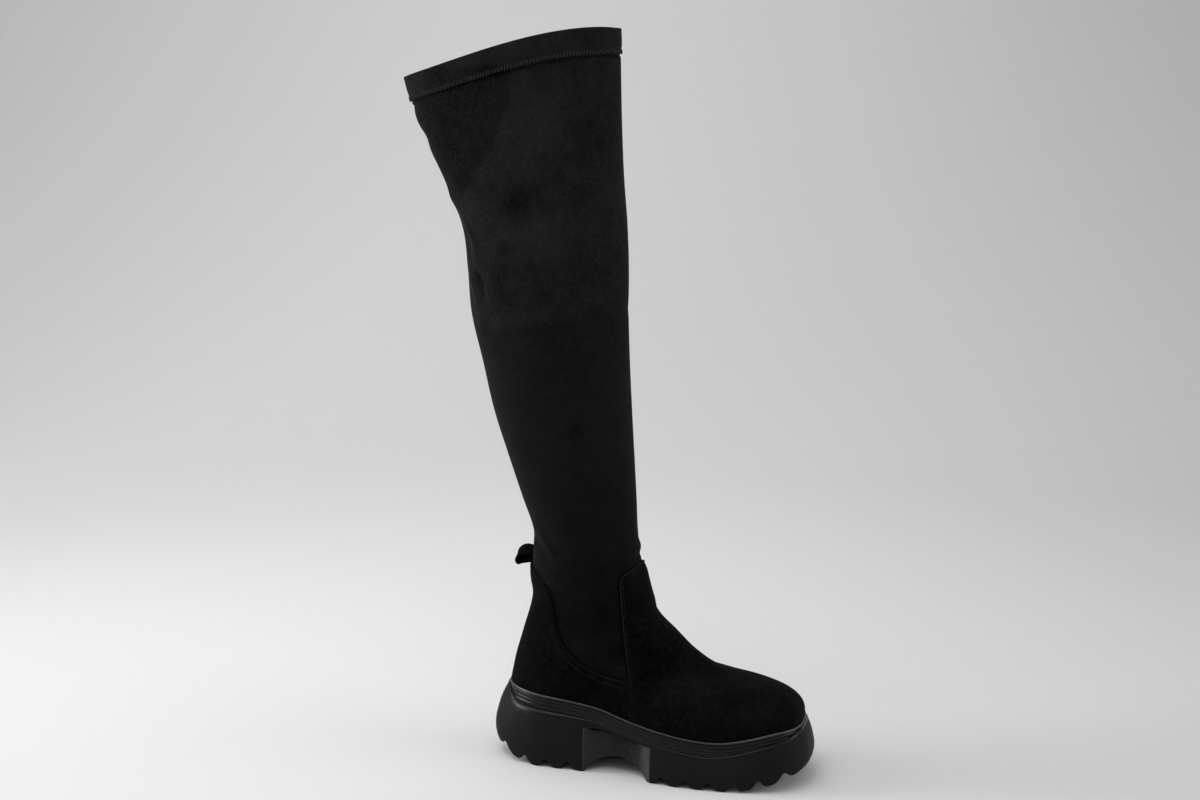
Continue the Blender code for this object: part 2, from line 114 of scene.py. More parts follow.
# Side outline of the suede's edge: the counter from the back of the heel down to the foot of
# the V, and the vamp from there up to the throat.
COUNTER_EDGE = (
    (-30.0, 175.0), (18.0, 174.0), (26.6, 170.6), (33.4, 165.8), (40.8, 157.8), (45.4, 148.0),
    (48.0, 136.0), (49.6, 122.0), (55.5, 109.0), (64.0, 99.5), (76.0, 91.5), (90.0, 86.5),
    (103.0, 84.0), (116.5, 82.0),
)
VAMP_EDGE = (
    (117.0, 82.0), (114.8, 94.0), (111.6, 112.0), (108.6, 129.0), (106.8, 143.5), (105.7, 155.5),
    (105.2, 165.5), (106.6, 172.0), (111.2, 175.4), (116.4, 178.2), (122.0, 181.0), (160.0, 184.0),
)
EDGE_POINTS = 240
SEAM_ALONG = 0.4495

# Leg: its wall, how far it laps under the suede and sinks there, the rows and columns of its mesh.
SHAFT_WALL = 1.2
LAP = 9.0
V_FOOT_Z = 82.0
LAP_SINK = 0.5
LAP_LEVELS = (11.0, 14.0)
LEG_COLUMNS = 200
LEG_JOIN_LEVEL = 14.0
LEG_LOW_ROWS = 60
LEG_HIGH_ROWS = 185
LEG_INNER_ROWS = 60
LEVEL_SAMPLES = 700
LEVEL_REFINE = 40
# The back seam: steps of turn on each side of it, the turn that even columns keep clear, the turn
# that its relief reaches, then its groove and the lips beside it.
SEAM_STEPS = (0.006, 0.012, 0.019, 0.028, 0.040, 0.056)
SEAM_CLEAR = 0.0672
SEAM_REACH = 0.45
SEAM_GROOVE = 0.55
SEAM_GROOVE_WIDTH = 0.45
SEAM_LIP = 0.35
SEAM_LIP_PLACE = 1.5
SEAM_LIP_WIDTH = 0.8
SEAM_FOOT_LEVEL = 10.5

# Hem: its height from heel side (0) to front (1), the levels under the collar's edge that hold it, how
# the edge rises and dips at the front, its tones, and its profile as share of its height and how
# far it stands off the leg. Its top is a round fold.
HEM = table("along height", (0.0, 19.4), (0.5, 20.6), (1.0, 21.6))
HEM_LEVELS = 1.5
HEM_RAISE = 0.9
HEM_FRONT_DIP = 1.5
HEM_FRONT_TURN = 0.42
HEM_TONE = 0.22
HEM_SHADOW_TONE = -0.45
HEM_PROFILE = (
    (-0.10, -0.25), (-0.07, -0.70), (-0.04, -1.00), (0.00, -0.95), (0.02, -0.30), (0.035, 0.35),
    (0.06, 0.70), (0.10, 0.84), (0.16, 0.70), (0.22, 0.55), (0.28, 0.66), (0.36, 0.86),
    (0.50, 1.00), (0.66, 0.98), (0.80, 0.88), (0.90, 0.80),
)
HEM_GROOVE = 2.6
HEM_FOLD_RADIUS = 1.0
HEM_FOLD_STEPS = 9
HEM_OUT = 0.8

# Soft ridges (out) and troughs (in) of the leg: how far, how wide, and the line they follow.
LEG_CREASES = (
    (1.5, 3.4, ((28.0, -13.5, 212.5), (35.0, -22.0, 204.5), (43.0, -27.0, 196.0), (48.5, -30.0, 186.0))),
    (-1.3, 3.6, ((25.5, -11.0, 203.0), (31.5, -18.5, 196.0), (39.5, -25.0, 187.0), (44.5, -28.0, 178.0))),
    (1.7, 2.8, ((-34.0, -19.0, 484.0), (-27.5, -24.0, 467.0), (-21.5, -28.2, 452.0), (-18.0, -30.2, 435.0))),
    (-1.3, 2.4, (
        (-37.0, -12.0, 476.0), (-31.0, -18.0, 461.0), (-26.5, -21.4, 446.0), (-24.0, -23.5, 434.0))),
    (-3.4, 2.6, ((-19.0, -29.4, 431.5), (-14.2, -31.8, 421.5), (-9.4, -34.4, 410.0))),
    (2.2, 4.2, ((-26.0, -21.5, 433.0), (-22.4, -25.6, 420.0), (-17.4, -30.0, 404.0))),
    (0.9, 3.6, ((-10.0, -34.0, 446.0), (6.0, -40.0, 458.0), (22.0, -43.0, 458.0), (33.0, -44.0, 446.0))),
    (-0.8, 4.6, ((-2.0, -37.6, 446.0), (9.0, -41.0, 450.0), (20.0, -43.2, 447.0))),
    (0.9, 5.0, ((-14.0, -31.0, 400.0), (5.5, -40.1, 391.5), (30.0, -44.0, 391.0), (62.0, -43.0, 394.0))),
    (-0.9, 7.0, ((-12.0, -33.0, 387.0), (10.0, -41.5, 380.0), (40.0, -45.0, 380.0))),
    (-1.2, 9.0, ((-30.0, -24.0, 462.0), (-6.0, -37.0, 452.0), (26.0, -43.5, 448.0))),
    (-1.4, 16.0, ((-50.0, -30.0, 556.0), (-24.0, -37.0, 536.0), (-4.0, -40.0, 516.0))),
    (-1.0, 12.0, ((10.0, -42.0, 500.0), (26.0, -43.0, 488.0), (44.0, -43.0, 480.0))),
    (1.6, 4.2, ((107.0, -20.0, 194.0), (115.5, 0.0, 193.0), (107.0, 20.0, 194.0))),
    (-1.2, 2.8, ((104.0, -22.0, 184.5), (116.5, 0.0, 185.5), (104.0, 22.0, 184.5))),
    (0.8, 3.0, ((100.0, -24.0, 203.0), (112.0, -8.0, 204.5), (114.5, 4.0, 205.0))),
    (-0.7, 6.0, ((98.0, -22.0, 412.0), (105.4, -4.0, 402.0), (102.0, 14.0, 398.0))),
    (-2.2, 3.4, ((-19.0, 28.0, 434.0), (-14.0, 31.0, 421.0), (-7.0, 34.0, 410.0))),
    (1.2, 4.0, ((-24.0, 24.0, 444.0), (-20.0, 27.5, 428.0), (-16.0, 30.0, 412.0))),
    (1.4, 3.4, ((22.5, 6.0, 211.0), (32.0, 19.0, 203.0), (42.0, 26.0, 193.0))),
    (-1.2, 3.6, ((22.0, 3.0, 202.0), (30.0, 16.0, 194.0), (39.0, 24.5, 184.0))),
    (-1.1, 12.0, ((-10.0, 38.0, 470.0), (20.0, 42.0, 455.0), (52.0, 43.0, 450.0))),
    (-1.7, 5.5, ((-79.0, -18.0, 569.0), (-82.0, -2.0, 568.0), (-79.0, 14.0, 569.0))),
    (-2.3, 9.0, ((-68.0, -20.0, 541.0), (-72.0, -2.0, 540.0), (-68.0, 16.0, 541.0))),
    (1.7, 8.0, ((-44.0, -18.0, 490.0), (-48.0, -2.0, 490.0), (-44.0, 14.0, 490.0))),
)
# The foot's: a kink across the instep, a swell below it, and a shallow hollow ahead of that.
FOOT_CREASES = (
    (-1.5, 5.5, ((118.0, -24.0, 139.0), (129.0, -10.0, 137.5), (132.5, 2.0, 136.0), (126.0, 18.0, 138.0))),
    (0.9, 6.5, ((124.0, -24.0, 127.0), (136.5, -6.0, 126.0), (135.0, 12.0, 127.0))),
    (-0.7, 9.0, ((150.0, -26.0, 96.0), (170.0, -14.0, 93.0), (176.0, 4.0, 92.0))),
)
CREASE_SAMPLES = 22
CREASE_FADE = 0.6

# Soft spots, dark (under 0) or light, as place, reach and strength: partly how the nap lies,
# partly painted shade and light of folds and ridges.
LEG_NAP_AND_PAINTED_SHADING = (
    ((24.0, -42.5, 491.0), 12.0, -0.60),
    ((39.0, -43.0, 490.0), 10.0, -0.22),
    ((16.0, -42.0, 485.0), 9.0, -0.20),
    ((11.0, -41.5, 451.0), 8.0, -0.26),
    ((20.0, -43.2, 448.0), 6.0, -0.20),
    ((32.0, -44.0, 438.0), 5.0, -0.28),
    ((10.0, -41.5, 413.0), 7.0, -0.28),
    ((46.0, -44.5, 416.0), 7.0, -0.18),
    ((-2.0, -38.0, 455.0), 6.0, 0.22),
    ((13.0, -41.5, 461.0), 6.0, 0.24),
    ((27.0, -43.3, 459.0), 6.0, 0.20),
    ((50.0, -43.0, 462.0), 24.0, 0.36),
    ((40.0, -43.0, 555.0), 34.0, 0.36),
    ((20.0, -42.0, 535.0), 22.0, 0.12),
    ((84.0, -33.0, 548.0), 18.0, -0.50),
    ((78.0, -36.0, 520.0), 9.0, -0.18),
    ((2.0, -39.6, 389.5), 7.0, 0.42),
    ((4.0, -39.0, 424.0), 9.0, -0.30),
    ((13.0, -42.7, 390.5), 7.0, 0.26),
    ((24.0, -44.4, 393.0), 8.0, 0.20),
    ((44.0, -45.0, 397.0), 9.0, 0.12),
    ((70.6, -41.0, 301.0), 5.0, -0.30),
    ((76.0, -40.0, 306.0), 3.0, -0.20),
    ((66.0, -37.0, 212.0), 9.0, -0.14),
    ((65.0, -31.0, 131.0), 8.0, -0.20),
    ((93.0, -30.0, 145.0), 7.0, -0.18),
    ((93.0, -30.0, 133.0), 7.0, -0.18),
    ((106.0, -31.0, 108.0), 8.0, -0.18),
    ((73.0, -30.5, 105.0), 7.0, 0.14),
    ((108.0, -33.0, 94.0), 6.0, 0.18),
    ((95.0, -32.5, 89.0), 6.0, -0.16),
    ((-4.0, -41.0, 604.0), 10.0, -0.32),
    ((-47.0, -35.0, 592.0), 8.0, -0.26),
    ((77.0, -26.0, 622.0), 9.0, -0.30),
    ((18.0, -41.0, 619.0), 9.0, 0.34),
    ((-70.0, -25.0, 591.0), 10.0, 0.34),
    ((52.0, -35.0, 625.0), 10.0, 0.22),
)
# A darker patch under the hem, partly nap that lies the other way, partly painted shade of a shallow hollow:
# its corners as x and z, its edge's softness.
NAP_AND_SHADE_PATCH = (
    (-110.0, 600.0), (21.0, 606.0), (18.0, 566.0), (4.0, 536.0), (-34.0, 484.0), (-70.0, 484.0))
NAP_AND_SHADE_SOFTNESS = 7.0
NAP_AND_SHADE_TONE = -0.46
# How the leg's tone changes with height.
HEIGHT_TONE = (
    (60.0, -0.36), (130.0, -0.32), (200.0, -0.13), (300.0, 0.05), (380.0, 0.0), (394.0, 0.14),
    (410.0, 0.22), (470.0, 0.34), (560.0, 0.38), (632.0, 0.30),
)
# The shadow on the leg beside the suede's edges.
EDGE_SHADOW_TONE = -0.26
EDGE_SHADOW_WIDTH = 2.2
# The foot's spots, in the same columns.
FOOT_NAP = (
    ((154.0, -33.0, 83.0), 10.0, 0.45),
    ((145.0, -41.0, 71.0), 11.0, 0.32),
    ((157.0, -39.0, 73.0), 8.0, 0.30),
    ((116.0, -16.0, 174.0), 9.0, 0.45),
    ((121.0, -18.0, 160.0), 9.0, 0.20),
    ((146.0, -27.0, 100.0), 13.0, -0.25),
    ((242.0, -28.0, 62.0), 12.0, 0.20),
    ((176.0, -30.0, 72.0), 17.0, 0.55),
    ((168.0, -20.0, 88.0), 14.0, 0.30),
    ((226.0, -34.0, 62.0), 18.0, 0.35),
    ((120.0, -30.0, 104.0), 16.0, -0.20),
)

# The stretch suede is calmer down the calf than round the knee: between these heights, in metres.
CALM_HEIGHTS = (0.33, 0.42)
# Noises: cells per metre, octaves and roughness. Flecks and fibres take their cells from the suede.
CLOUDS = (17.0, 3.0, 0.60)
PATCHES = (75.0, 3.0, 0.60)
MOTTLES = (240.0, 3.0, 0.65)
FLECKS = (2.0, 0.60)
FIBRES = (3.0, 0.70)
FIBRE_FINENESS = 2.0
UNEVEN = (24.0, 3.0, 0.55)
SPECKLE = (900.0, 2.0, 0.55)
FUZZ = (500.0, 3.0, 0.55)
SHEET_NOISE = (60.0, 4.0, 0.55)
# Suede: gloss, middle tone, weights of patches in colour and of mottles in relief.
SUEDE_GLOSS = {"roughness": 0.95, "specular": 0.025}
SHEEN_ROUGHNESS = 0.42
SUEDE_TONE = 0.45
PATCH_WEIGHT = 0.9
MOTTLE_RELIEF = 1.2
SUEDE_RELIEF = {"strength": 0.7, "distance": 0.0006}
TONE_MOST = 8.0
# Rubber: start, weight of unevenness and weight of speckle, for its colour and its roughness.
RUBBER_COLOUR = (-0.02, 0.12, 0.08)
RUBBER_ROUGHNESS = (-0.10, 0.14, 0.06)
UNEVEN_RELIEF = 1.5
RUBBER_RELIEF = 0.0003
# Knit: start, weight of each rib and weight of fuzz, for its colour and its height.
KNIT_COLOUR = (-0.1, 0.3, 0.5)
KNIT_HEIGHT = (0.0, 0.5, 0.4)
KNIT_DISTORTION = 0.6
KNIT_RELIEF = {"strength": 0.5, "distance": 0.0004}
MATTE = {"roughness": 0.9, "specular": 0.1}

# Suede panels: thickness over the leg, the rounded edge, and the stitches let in beside it.
SUEDE_BASE = 0.1
COUNTER_HEIGHT = 1.8
VAMP_HEIGHT = 2.5
EDGE_HEIGHT = 1.5
EDGE_ROUND = 0.9
COUNTER_RAW_TONE = 0.9
VAMP_RAW_TONE = 2.2
RAW_EDGE_HEIGHTS = (74.0, 84.0)
RAW_EDGE_WIDTH = 0.7
LAP_LIFT = 1.4
LAP_LIFT_RANGE = (85.0, 79.0)
LAP_LIFT_REACH = (20.0, 4.0)
EDGE_BLEND = 9.0
COUNTER_LAP_ALONG = 0.024
COUNTER_STITCH_INSET = 5.4
VAMP_STITCH_INSET = 2.4
STITCH_SINK = 0.60
STITCH_SINK_WIDTH = 0.6
PANEL_NEAR_STEPS = 26
PANEL_NEAR_REACH = 10.0
PANEL_NEAR_SHARE = 0.4
PANEL_COLUMNS = 62
COUNTER_COLUMN_STEP = 1.1
COUNTER_ROWS = 34
PANEL_ROW_STEP = 1.6
PANEL_TOP_STEP = 0.4
PANEL_TOP_REACH = 7.0
ROW_SAMPLES = 420
BOUNDARY_SAMPLES = 900
TOP_MARGIN = 0.001

# Stitches: length, spacing, half thickness and slant of each kind, then how uneven they are.
SEAM_STITCH = {"length": 2.3, "pitch": 3.0, "radius": 0.36, "slant": 0.0}
HEM_STITCH = {"length": 4.6, "pitch": 2.75, "radius": 0.48, "slant": np.radians(62)}
STITCH_SEED = 11
STITCH_WANDER = 0.16
STITCH_TURN = 0.10
HEM_STITCH_LIFT = 0.85
HEM_STITCH_RISE = 1.9
STITCH_RINGS = 6
STITCH_SIDES = 8
STITCH_BLUNTNESS = 0.6

# Sole: the band sits round a raised core, over a shoulder from which the side flares out.
GAP = 0.3
CORE_OFFSET = 2.6
SEAT_DEPTH = 0.8
BAND_LIP = 3.0
BAND_HEIGHT = 12.0
SHOULDER_OFFSET = 5.2
SHOULDER_GLOSS_START = 5.0
# The shoulder's round, as steps out and down.
SHOULDER = ((0.0, 0.0), (0.8, -0.15), (1.5, -0.55), (2.0, -1.2), (2.3, -2.1), (2.45, -3.2))
# The sole's rim, heel (0) to toe (1): how far it rises over the band's foot, how far rim and band
# draw in, how broad the shoulder's round is, and how far the band dips.
RIM = table(
    "along rise reach round dip",
    (0.000, 10.5, -2.9, 0.7, 0.0),
    (0.006, 9.5, -2.8, 0.5, 0.0),
    (0.017, 6.0, -2.2, 0.6, 0.0),
    (0.035, 2.4, -1.2, 1.2, 0.0),
    (0.060, 0.5, -0.4, 1.9, 0.0),
    (0.090, 0.0, 0.0, 2.0, 0.0),
    (0.180, 0.0, 0.0, 1.9, 0.0),
    (0.260, 0.0, 0.0, 1.3, 0.0),
    (0.340, 0.0, 0.0, 0.6, 0.0),
    (0.500, 0.0, 0.0, 0.5, 0.0),
    (0.600, 0.0, 0.0, 0.7, 0.0),
    (0.750, 0.0, 0.0, 0.8, 0.0),
    (0.820, 1.2, 0.0, 0.8, 0.0),
    (0.880, 2.2, 0.0, 0.8, 0.0),
    (0.933, 3.4, -0.1, 0.8, 0.2),
    (0.960, 4.6, -0.4, 0.8, 0.6),
    (0.980, 6.2, -0.8, 0.8, 1.2),
    (0.992, 7.7, -1.2, 0.8, 1.8),
    (1.000, 9.0, -1.7, 0.8, 3.0),
)
# How far the sole's side stands out at its widest, heel (0) to toe (1).
FLARE = table(
    "along flare",
    (0.00, 15.2), (0.05, 14.4), (0.11, 12.2), (0.18, 10.4), (0.30, 9.2), (0.45, 9.0), (0.58, 11.6),
    (0.70, 12.4), (0.82, 11.8), (0.92, 11.4), (1.00, 11.4),
)
# The side's swell: how far down from the shoulder (0) to the floor edge (1), share of the flare.
SWELL = table(
    "down share",
    (0.0, 0.0), (0.22, 0.45), (0.46, 0.78), (0.70, 1.0), (0.90, 1.0), (1.0, 0.92),
)
# Height of the tread line along the sole: heel bevel, flat heel, flat forefoot, toe spring.
TREAD = table(
    "x z",
    (-18.0, 19.0), (-6.0, 11.8), (10.0, 4.4), (26.0, 0.0), (40.0, 0.0), (120.0, 0.0), (190.0, 0.0),
    (204.0, 0.0), (220.0, 1.8), (240.0, 6.0), (258.0, 12.2), (274.0, 20.0),
)
FLAT_START = 26.0
FLAT_END = 204.0
# Waist: the arch as x and z, and the recess as x, depth in the flank and height of the lip over it.
ARCH = (
    (77.0, -4.0), (79.0, 3.0), (86.0, 7.6), (95.0, 11.6), (106.0, 14.0), (115.5, 12.4),
    (125.0, 7.4), (132.6, 2.8), (136.8, -4.0),
)
RECESS = table(
    "x inset lip",
    (76.8, -0.6, 41.3), (78.4, 1.6, 41.1), (81.0, 4.4, 40.8), (85.0, 7.2, 40.2), (90.0, 9.2, 39.6),
    (97.0, 10.4, 38.6), (108.0, 10.8, 37.0), (117.0, 10.2, 35.2), (124.0, 8.8, 33.8), (129.0, 6.4, 32.8),
    (134.0, 3.2, 31.8), (138.3, -0.6, 31.0),
)
# Painted light on the recess's wall, more at its heel end and most on its slanted front, and the slit cut
# under its lip, painted with shade. Where two x stand together, something starts at the first and is full at
# the second.
RECESS_PAINTED_LIGHT = 0.36
RECESS_END_PAINTED_LIGHT = 0.12
RECESS_END = (90.0, 79.0)
SLIT_DEPTH = 8.0
SLIT_DROP = 3.3
SLIT_EDGE = 0.8
SLIT_PAINTED_SHADE = -0.3
SLIT_START = (80.0, 88.0)
SLIT_END = (128.0, 118.0)
SLANT_START = 122.0
SLANT_PAINTED_LIGHT = 0.75
LEDGE = 0.9
LEDGE_SHARES = (-0.25, 0.0, 0.2, 0.45, 0.7, 1.0)
KNURL_PITCH = 2.2
KNURL_DEPTH = 0.70
KNURL_START = (92.0, 106.0)
KNURL_END = (134.0, 126.0)
KNURL_MARGIN = 2.0
# Lugs: the x of each groove across the tread, and its rounded flank as half width and height.
LUG_GROOVES = (2.0, 22.5, 42.5, 62.5, 149.0, 169.5, 190.0, 211.0, 232.0, 252.5)
GROOVE = (
    (8.6, 0.0), (7.4, 0.25), (6.1, 0.8), (4.9, 1.7), (3.8, 2.8), (2.9, 4.0), (2.2, 5.2), (1.2, 6.2),
    (0.0, 6.6),
)
# Under the middle of the foot, grooves and arch are shallower: by what share, and how far in.
TREAD_FILL = 0.72
TREAD_FILL_REACH = 0.35
# The sole's rounded floor edge, then the rows and columns of its mesh.
SOLE_EDGE_ROUND = 1.5
SOLE_COLUMN_STEP = 0.9
SOLE_FINE_STEP = 0.42
SOLE_LEAST_STEP = 0.14
SOLE_END_MARGIN = 0.05
SOLE_FINE_STRETCHES = ((76.4, 80.5), (92.0, 143.0))
SOLE_UPPER_ROWS = 9
SOLE_LOWER_ROWS = 42
SOLE_ROUND_ROWS = 6
SOLE_ACROSS = 12
SOLE_SHARP = np.radians(48)
OUTLINE_SAMPLES = 6000
SEAM_START = -0.6

# Band: half-round ribs, as the middle's height from the band's top edge, half height and stand-off.
BAND_COLUMNS = 720
BAND_GROOVE_OFFSET = 4.05
BAND_RIBS = (
    (-0.65, 1.10, 1.25), (-3.70, 1.70, 0.80), (-7.20, 1.60, 0.85), (-11.95, 3.10, 1.15))
# Painted shading of the band: ribs lighter by how far they stand off, the grooves between them darker.
RIB_PAINTED_LIGHT = 0.30
GROOVE_PAINTED_SHADE = -0.16
BEAD_FOOT = -1.75
# A painted highlight makes the bead lighter towards the heel and the toe: where that starts and where it is
# full.
BEAD_HEEL_FADE = (75.0, 20.0)
BEAD_TOE_FADE = (180.0, 235.0)
BEAD_END_PAINTED_HIGHLIGHT = 0.40
BAND_ROWS = 56
BAND_SHARP = np.radians(60)
BAND_TOP = 0.45
BAND_FOOT = -11.80
BAND_INNER_LIP = ((CORE_OFFSET + GAP, BAND_FOOT), (CORE_OFFSET + GAP, -3.6), (3.5, -0.4))

# Pull loop: the middle line of its strip in side view, from the leg round and back.
LOOP_PATH = (
    (22.8, 182.0), (16.6, 183.4), (12.0, 182.8), (8.4, 180.4), (6.8, 177.4), (8.2, 175.2), (12.0, 176.4),
    (22.4, 178.4),
)
LOOP_WIDTH = 12.0
LOOP_TILT = np.radians(40)
LOOP_THICKNESS = 2.2
LOOP_STEPS = 60
LOOP_SIDES = 20
LOOP_SQUARENESS = 0.55
LOOP_SAG = 0.9
LOOP_FOLD_EASE = 0.25

# Camera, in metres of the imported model's frame.
CAMERA_PLACE = (0.3770, -1.4387, 0.6014)
CAMERA_TILT = np.radians(79.3)
CAMERA_TURN = np.radians(15.0)
CAMERA_LENS = 53.22
SENSOR_WIDTH = 36.0

# Soft lights: name, place, the point they face, width and height in metres, watts, spread in degrees.
LIGHTS = (
    ("left_light", (-1.60, -0.30, 0.75), (0.0, 0.0, 0.25), (0.7, 1.2), 4.4, 80.0),
    ("top_light", (-0.55, -0.75, 1.80), (-0.25, -0.40, 0.0), (1.3, 1.3), 1.5, 100.0),
    ("strip_light", (-0.40, -0.50, 1.75), (-0.10, -0.15, 0.0), (1.8, 0.16), 2.2, 110.0),
    ("right_light", (1.70, 0.05, 0.80), (0.05, 0.0, 0.20), (1.3, 1.4), 2.0, 60.0),
    ("backdrop_light", (-0.50, 0.70, 2.20), (-0.50, 2.10, 0.70), (1.4, 0.4), 10.0, 150.0),
)
# The studio round it: brightness level with the eye, how much it rises overhead and falls in front.
WORLD_LEVEL = 0.52
WORLD_RISE = 0.36
WORLD_FRONT_FALL = 0.36
# Floor and backdrop in one sheet: half its width, where the floor starts and ends, and the round
# and the wall behind.
SHEET_HALF = 6.0
SHEET_FRONT = -5.0
SHEET_BEND = 1.1
SHEET_RADIUS = 1.0
SHEET_TOP = 4.0
SHEET_STEPS = 48
# The sheet's tone at the boot, and the painted shade and light that change it per metre: darker to the
# right, paler to the back.
SHEET_DARK = (0.45, 0.45, 0.45)
SHEET_LIGHT = (0.79, 0.79, 0.79)
SHEET_TONE = 0.62
SHEET_PAINTED_SHADE_RIGHT = -0.30
SHEET_PAINTED_LIGHT_BACK = 0.06
SHEET_GRAIN = 0.05


def curve(stations, values, at):
    """A smooth curve through values given at rising stations, read at any places."""
    stations = np.asarray(stations, float)
    values = np.asarray(values, float)
    at = np.asarray(at, float)
    slopes = np.gradient(values, stations, axis=0)
    left = np.clip(np.searchsorted(stations, at, side="right") - 1, 0, len(stations) - 2)
    span = stations[left + 1] - stations[left]
    t = np.clip((at - stations[left]) / span, 0.0, 1.0)
    if values.ndim > 1:
        t = t[..., None]
        span = span[..., None]
    rise = values[left + 1] - values[left]
    bend_in = slopes[left] * span - rise
    bend_out = rise - slopes[left + 1] * span
    return values[left] + rise * t + t * (1 - t) * (bend_in * (1 - t) + bend_out * t)


def read(rows, name, at):
    """One column of a table, at places along its first column."""
    return curve(next(iter(rows.values())), rows[name], at)


def smooth_path(points, count):
    """Evenly numbered points on a smooth path through a few given ones."""
    steps = np.arange(len(points), dtype=float)
    return curve(steps, points, np.linspace(0, len(points) - 1, count))


def ramp(value, start, end):
    """0 up to a start, 1 from an end on, and a soft rise between. The start may be the higher one."""
    share = np.clip((value - start) / (end - start), 0.0, 1.0)
    return share * share * (3 - 2 * share)


def bell(gap, width):
    """1 where there is no gap, and softly less with it."""
    return np.exp(-(gap / width) ** 2)


def unit(vectors):
    """Vectors of the same directions and of length 1."""
    return vectors / np.linalg.norm(vectors, axis=-1, keepdims=True)


def walked_length(points):
    """Length along a line of points, from its start to each point."""
    return np.concatenate([[0.0], np.cumsum(np.linalg.norm(np.diff(points, axis=0), axis=-1))])


def distance_to(points, line):
    """Distance from each point to the nearest of a close line of points."""
    tree = kdtree.KDTree(len(line))
    for index, place in enumerate(line):
        tree.insert(place, index)
    tree.balance()
    nearest = [tree.find(place)[2] for place in points.reshape(-1, 3)]
    return np.array(nearest).reshape(points.shape[:-1])


def round_turns(count):
    """Even angles once round."""
    return np.linspace(0, 2 * np.pi, count, endpoint=False)


def along_foot(turn):
    """How far from heel (0) to toe (1) an angle round the boot lies."""
    return (1 + np.cos(turn)) / 2


def skin(level, turn):
    """The last and leg at a section level and an angle round it (0 toe, pi heel)."""
    level, turn = np.broadcast_arrays(np.asarray(level, float), np.asarray(turn, float))
    values = curve(np.arange(TOP_LEVEL + 1), np.column_stack(list(SECTIONS.values())), level)
    part = dict(zip(SECTIONS, np.moveaxis(values, -1, 0)))
    along = along_foot(turn)
    side = np.sin(turn)
    plan = np.where(side > 0, read(PLAN, "outer", along), read(PLAN, "inner", along))
    power = BACK_POWER + (part["front_power"] - BACK_POWER) * along
    half = part["half_width"] * (1 + part["plan"] * (plan - 1)) * np.abs(side) ** power
    rise = np.clip((level - CROWN_START_LEVEL) / (TOP_LEVEL - CROWN_START_LEVEL), 0, 1)
    x = part["back_x"] + along * (part["front_x"] - part["back_x"])
    y = part["lean"] * along ** 2 - np.sign(side) * half
    z = part["back_z"] + along * (part["front_z"] - part["back_z"])
    z = z - part["drop"] * read(PLAN, "drop", along) + COLLAR_CROWN * rise ** 2 * side ** 2 * along
    return np.stack([x, y, z], axis=-1)


def normals(level, turn):
    """The skin's outward normals."""
    low = np.clip(level - TANGENT_STEP, 0, TOP_LEVEL)
    high = np.clip(level + TANGENT_STEP, 0, TOP_LEVEL)
    upward = skin(high, turn) - skin(low, turn)
    round_it = skin(level, turn + TANGENT_STEP) - skin(level, turn - TANGENT_STEP)
    return unit(np.cross(upward, round_it))


def wall(level, turn, offset):
    """The skin moved outwards along its normal."""
    return skin(level, turn) + np.asarray(offset)[..., None] * normals(level, turn)


def outline(turn, offset):
    """The feather line moved outwards in plan, its heights kept."""
    moved = skin(0.0, turn)
    along = skin(0.0, turn + TANGENT_STEP) - skin(0.0, turn - TANGENT_STEP)
    normal = unit(np.stack([-along[..., 1], along[..., 0]], axis=-1))
    moved[..., :2] += normal * np.broadcast_to(offset, turn.shape)[..., None]
    return moved


def suede_edge(rows, inset):
    """The side outline of a panel's edge, moved into the panel by an inset."""
    path = smooth_path(rows, EDGE_POINTS)
    run = unit(np.gradient(path, axis=0))
    return path + inset * np.stack([run[:, 1], -run[:, 0]], axis=-1)


def under_counter(points, inset):
    """How far points lie below the counter's edge in side view."""
    edge = suede_edge(COUNTER_EDGE, inset)
    return np.interp(points[..., 0], edge[:, 0], edge[:, 1]) - points[..., 2]


def ahead_of_vamp_edge(points, inset):
    """How far points lie ahead of the vamp's edge in side view."""
    edge = suede_edge(VAMP_EDGE, inset)
    return points[..., 0] - np.interp(points[..., 2], edge[:, 1], edge[:, 0])


def creases(points, rows):
    """How far soft ridges and troughs move points out or in."""
    shift = np.zeros(points.shape[:-1])
    fade = np.sin(np.pi * (np.arange(CREASE_SAMPLES) + 0.5) / CREASE_SAMPLES) ** CREASE_FADE
    for amount, width, spine in rows:
        strength = np.zeros(points.shape[:-1])
        for place, share in zip(smooth_path(spine, CREASE_SAMPLES), fade):
            gap = np.linalg.norm(points - place, axis=-1)
            strength = np.maximum(strength, share * bell(gap, width))
        shift += amount * strength
    return shift


def nap(points, spots):
    """How light spots make points, round 0: the nap's lie, and on the leg painted shade and light of folds
    as well.
    """
    tone = np.zeros(points.shape[:-1])
    for place, reach, strength in spots:
        tone += strength * bell(np.linalg.norm(points - np.array(place), axis=-1), reach)
    return tone


def nap_and_shade_patch_tone(points):
    """Tone of the darker patch on the outer side: nap that lies the other way, and painted shade of a
    shallow hollow.
    """
    corners = np.array(NAP_AND_SHADE_PATCH)
    inside = np.full(points.shape[:-1], np.inf)
    for corner, following in zip(corners, np.roll(corners, -1, axis=0)):
        run = unit(following - corner)
        off = points[..., [0, 2]] - corner
        inside = np.minimum(inside, off[..., 0] * run[1] - off[..., 1] * run[0])
    outer_side = ramp(-points[..., 1], 0.0, NAP_AND_SHADE_SOFTNESS)
    return NAP_AND_SHADE_TONE * ramp(inside, 0.0, NAP_AND_SHADE_SOFTNESS) * outer_side


def edge_shadow(points):
    """The leg is dark right beside the suede's edges, by the distance in side view."""
    edges = np.concatenate([suede_edge(COUNTER_EDGE, 0.0), suede_edge(VAMP_EDGE, 0.0)])
    gap = distance_to(points * (1, 0, 1), np.insert(edges, 1, 0.0, axis=1))
    return EDGE_SHADOW_TONE * bell(gap, EDGE_SHADOW_WIDTH)


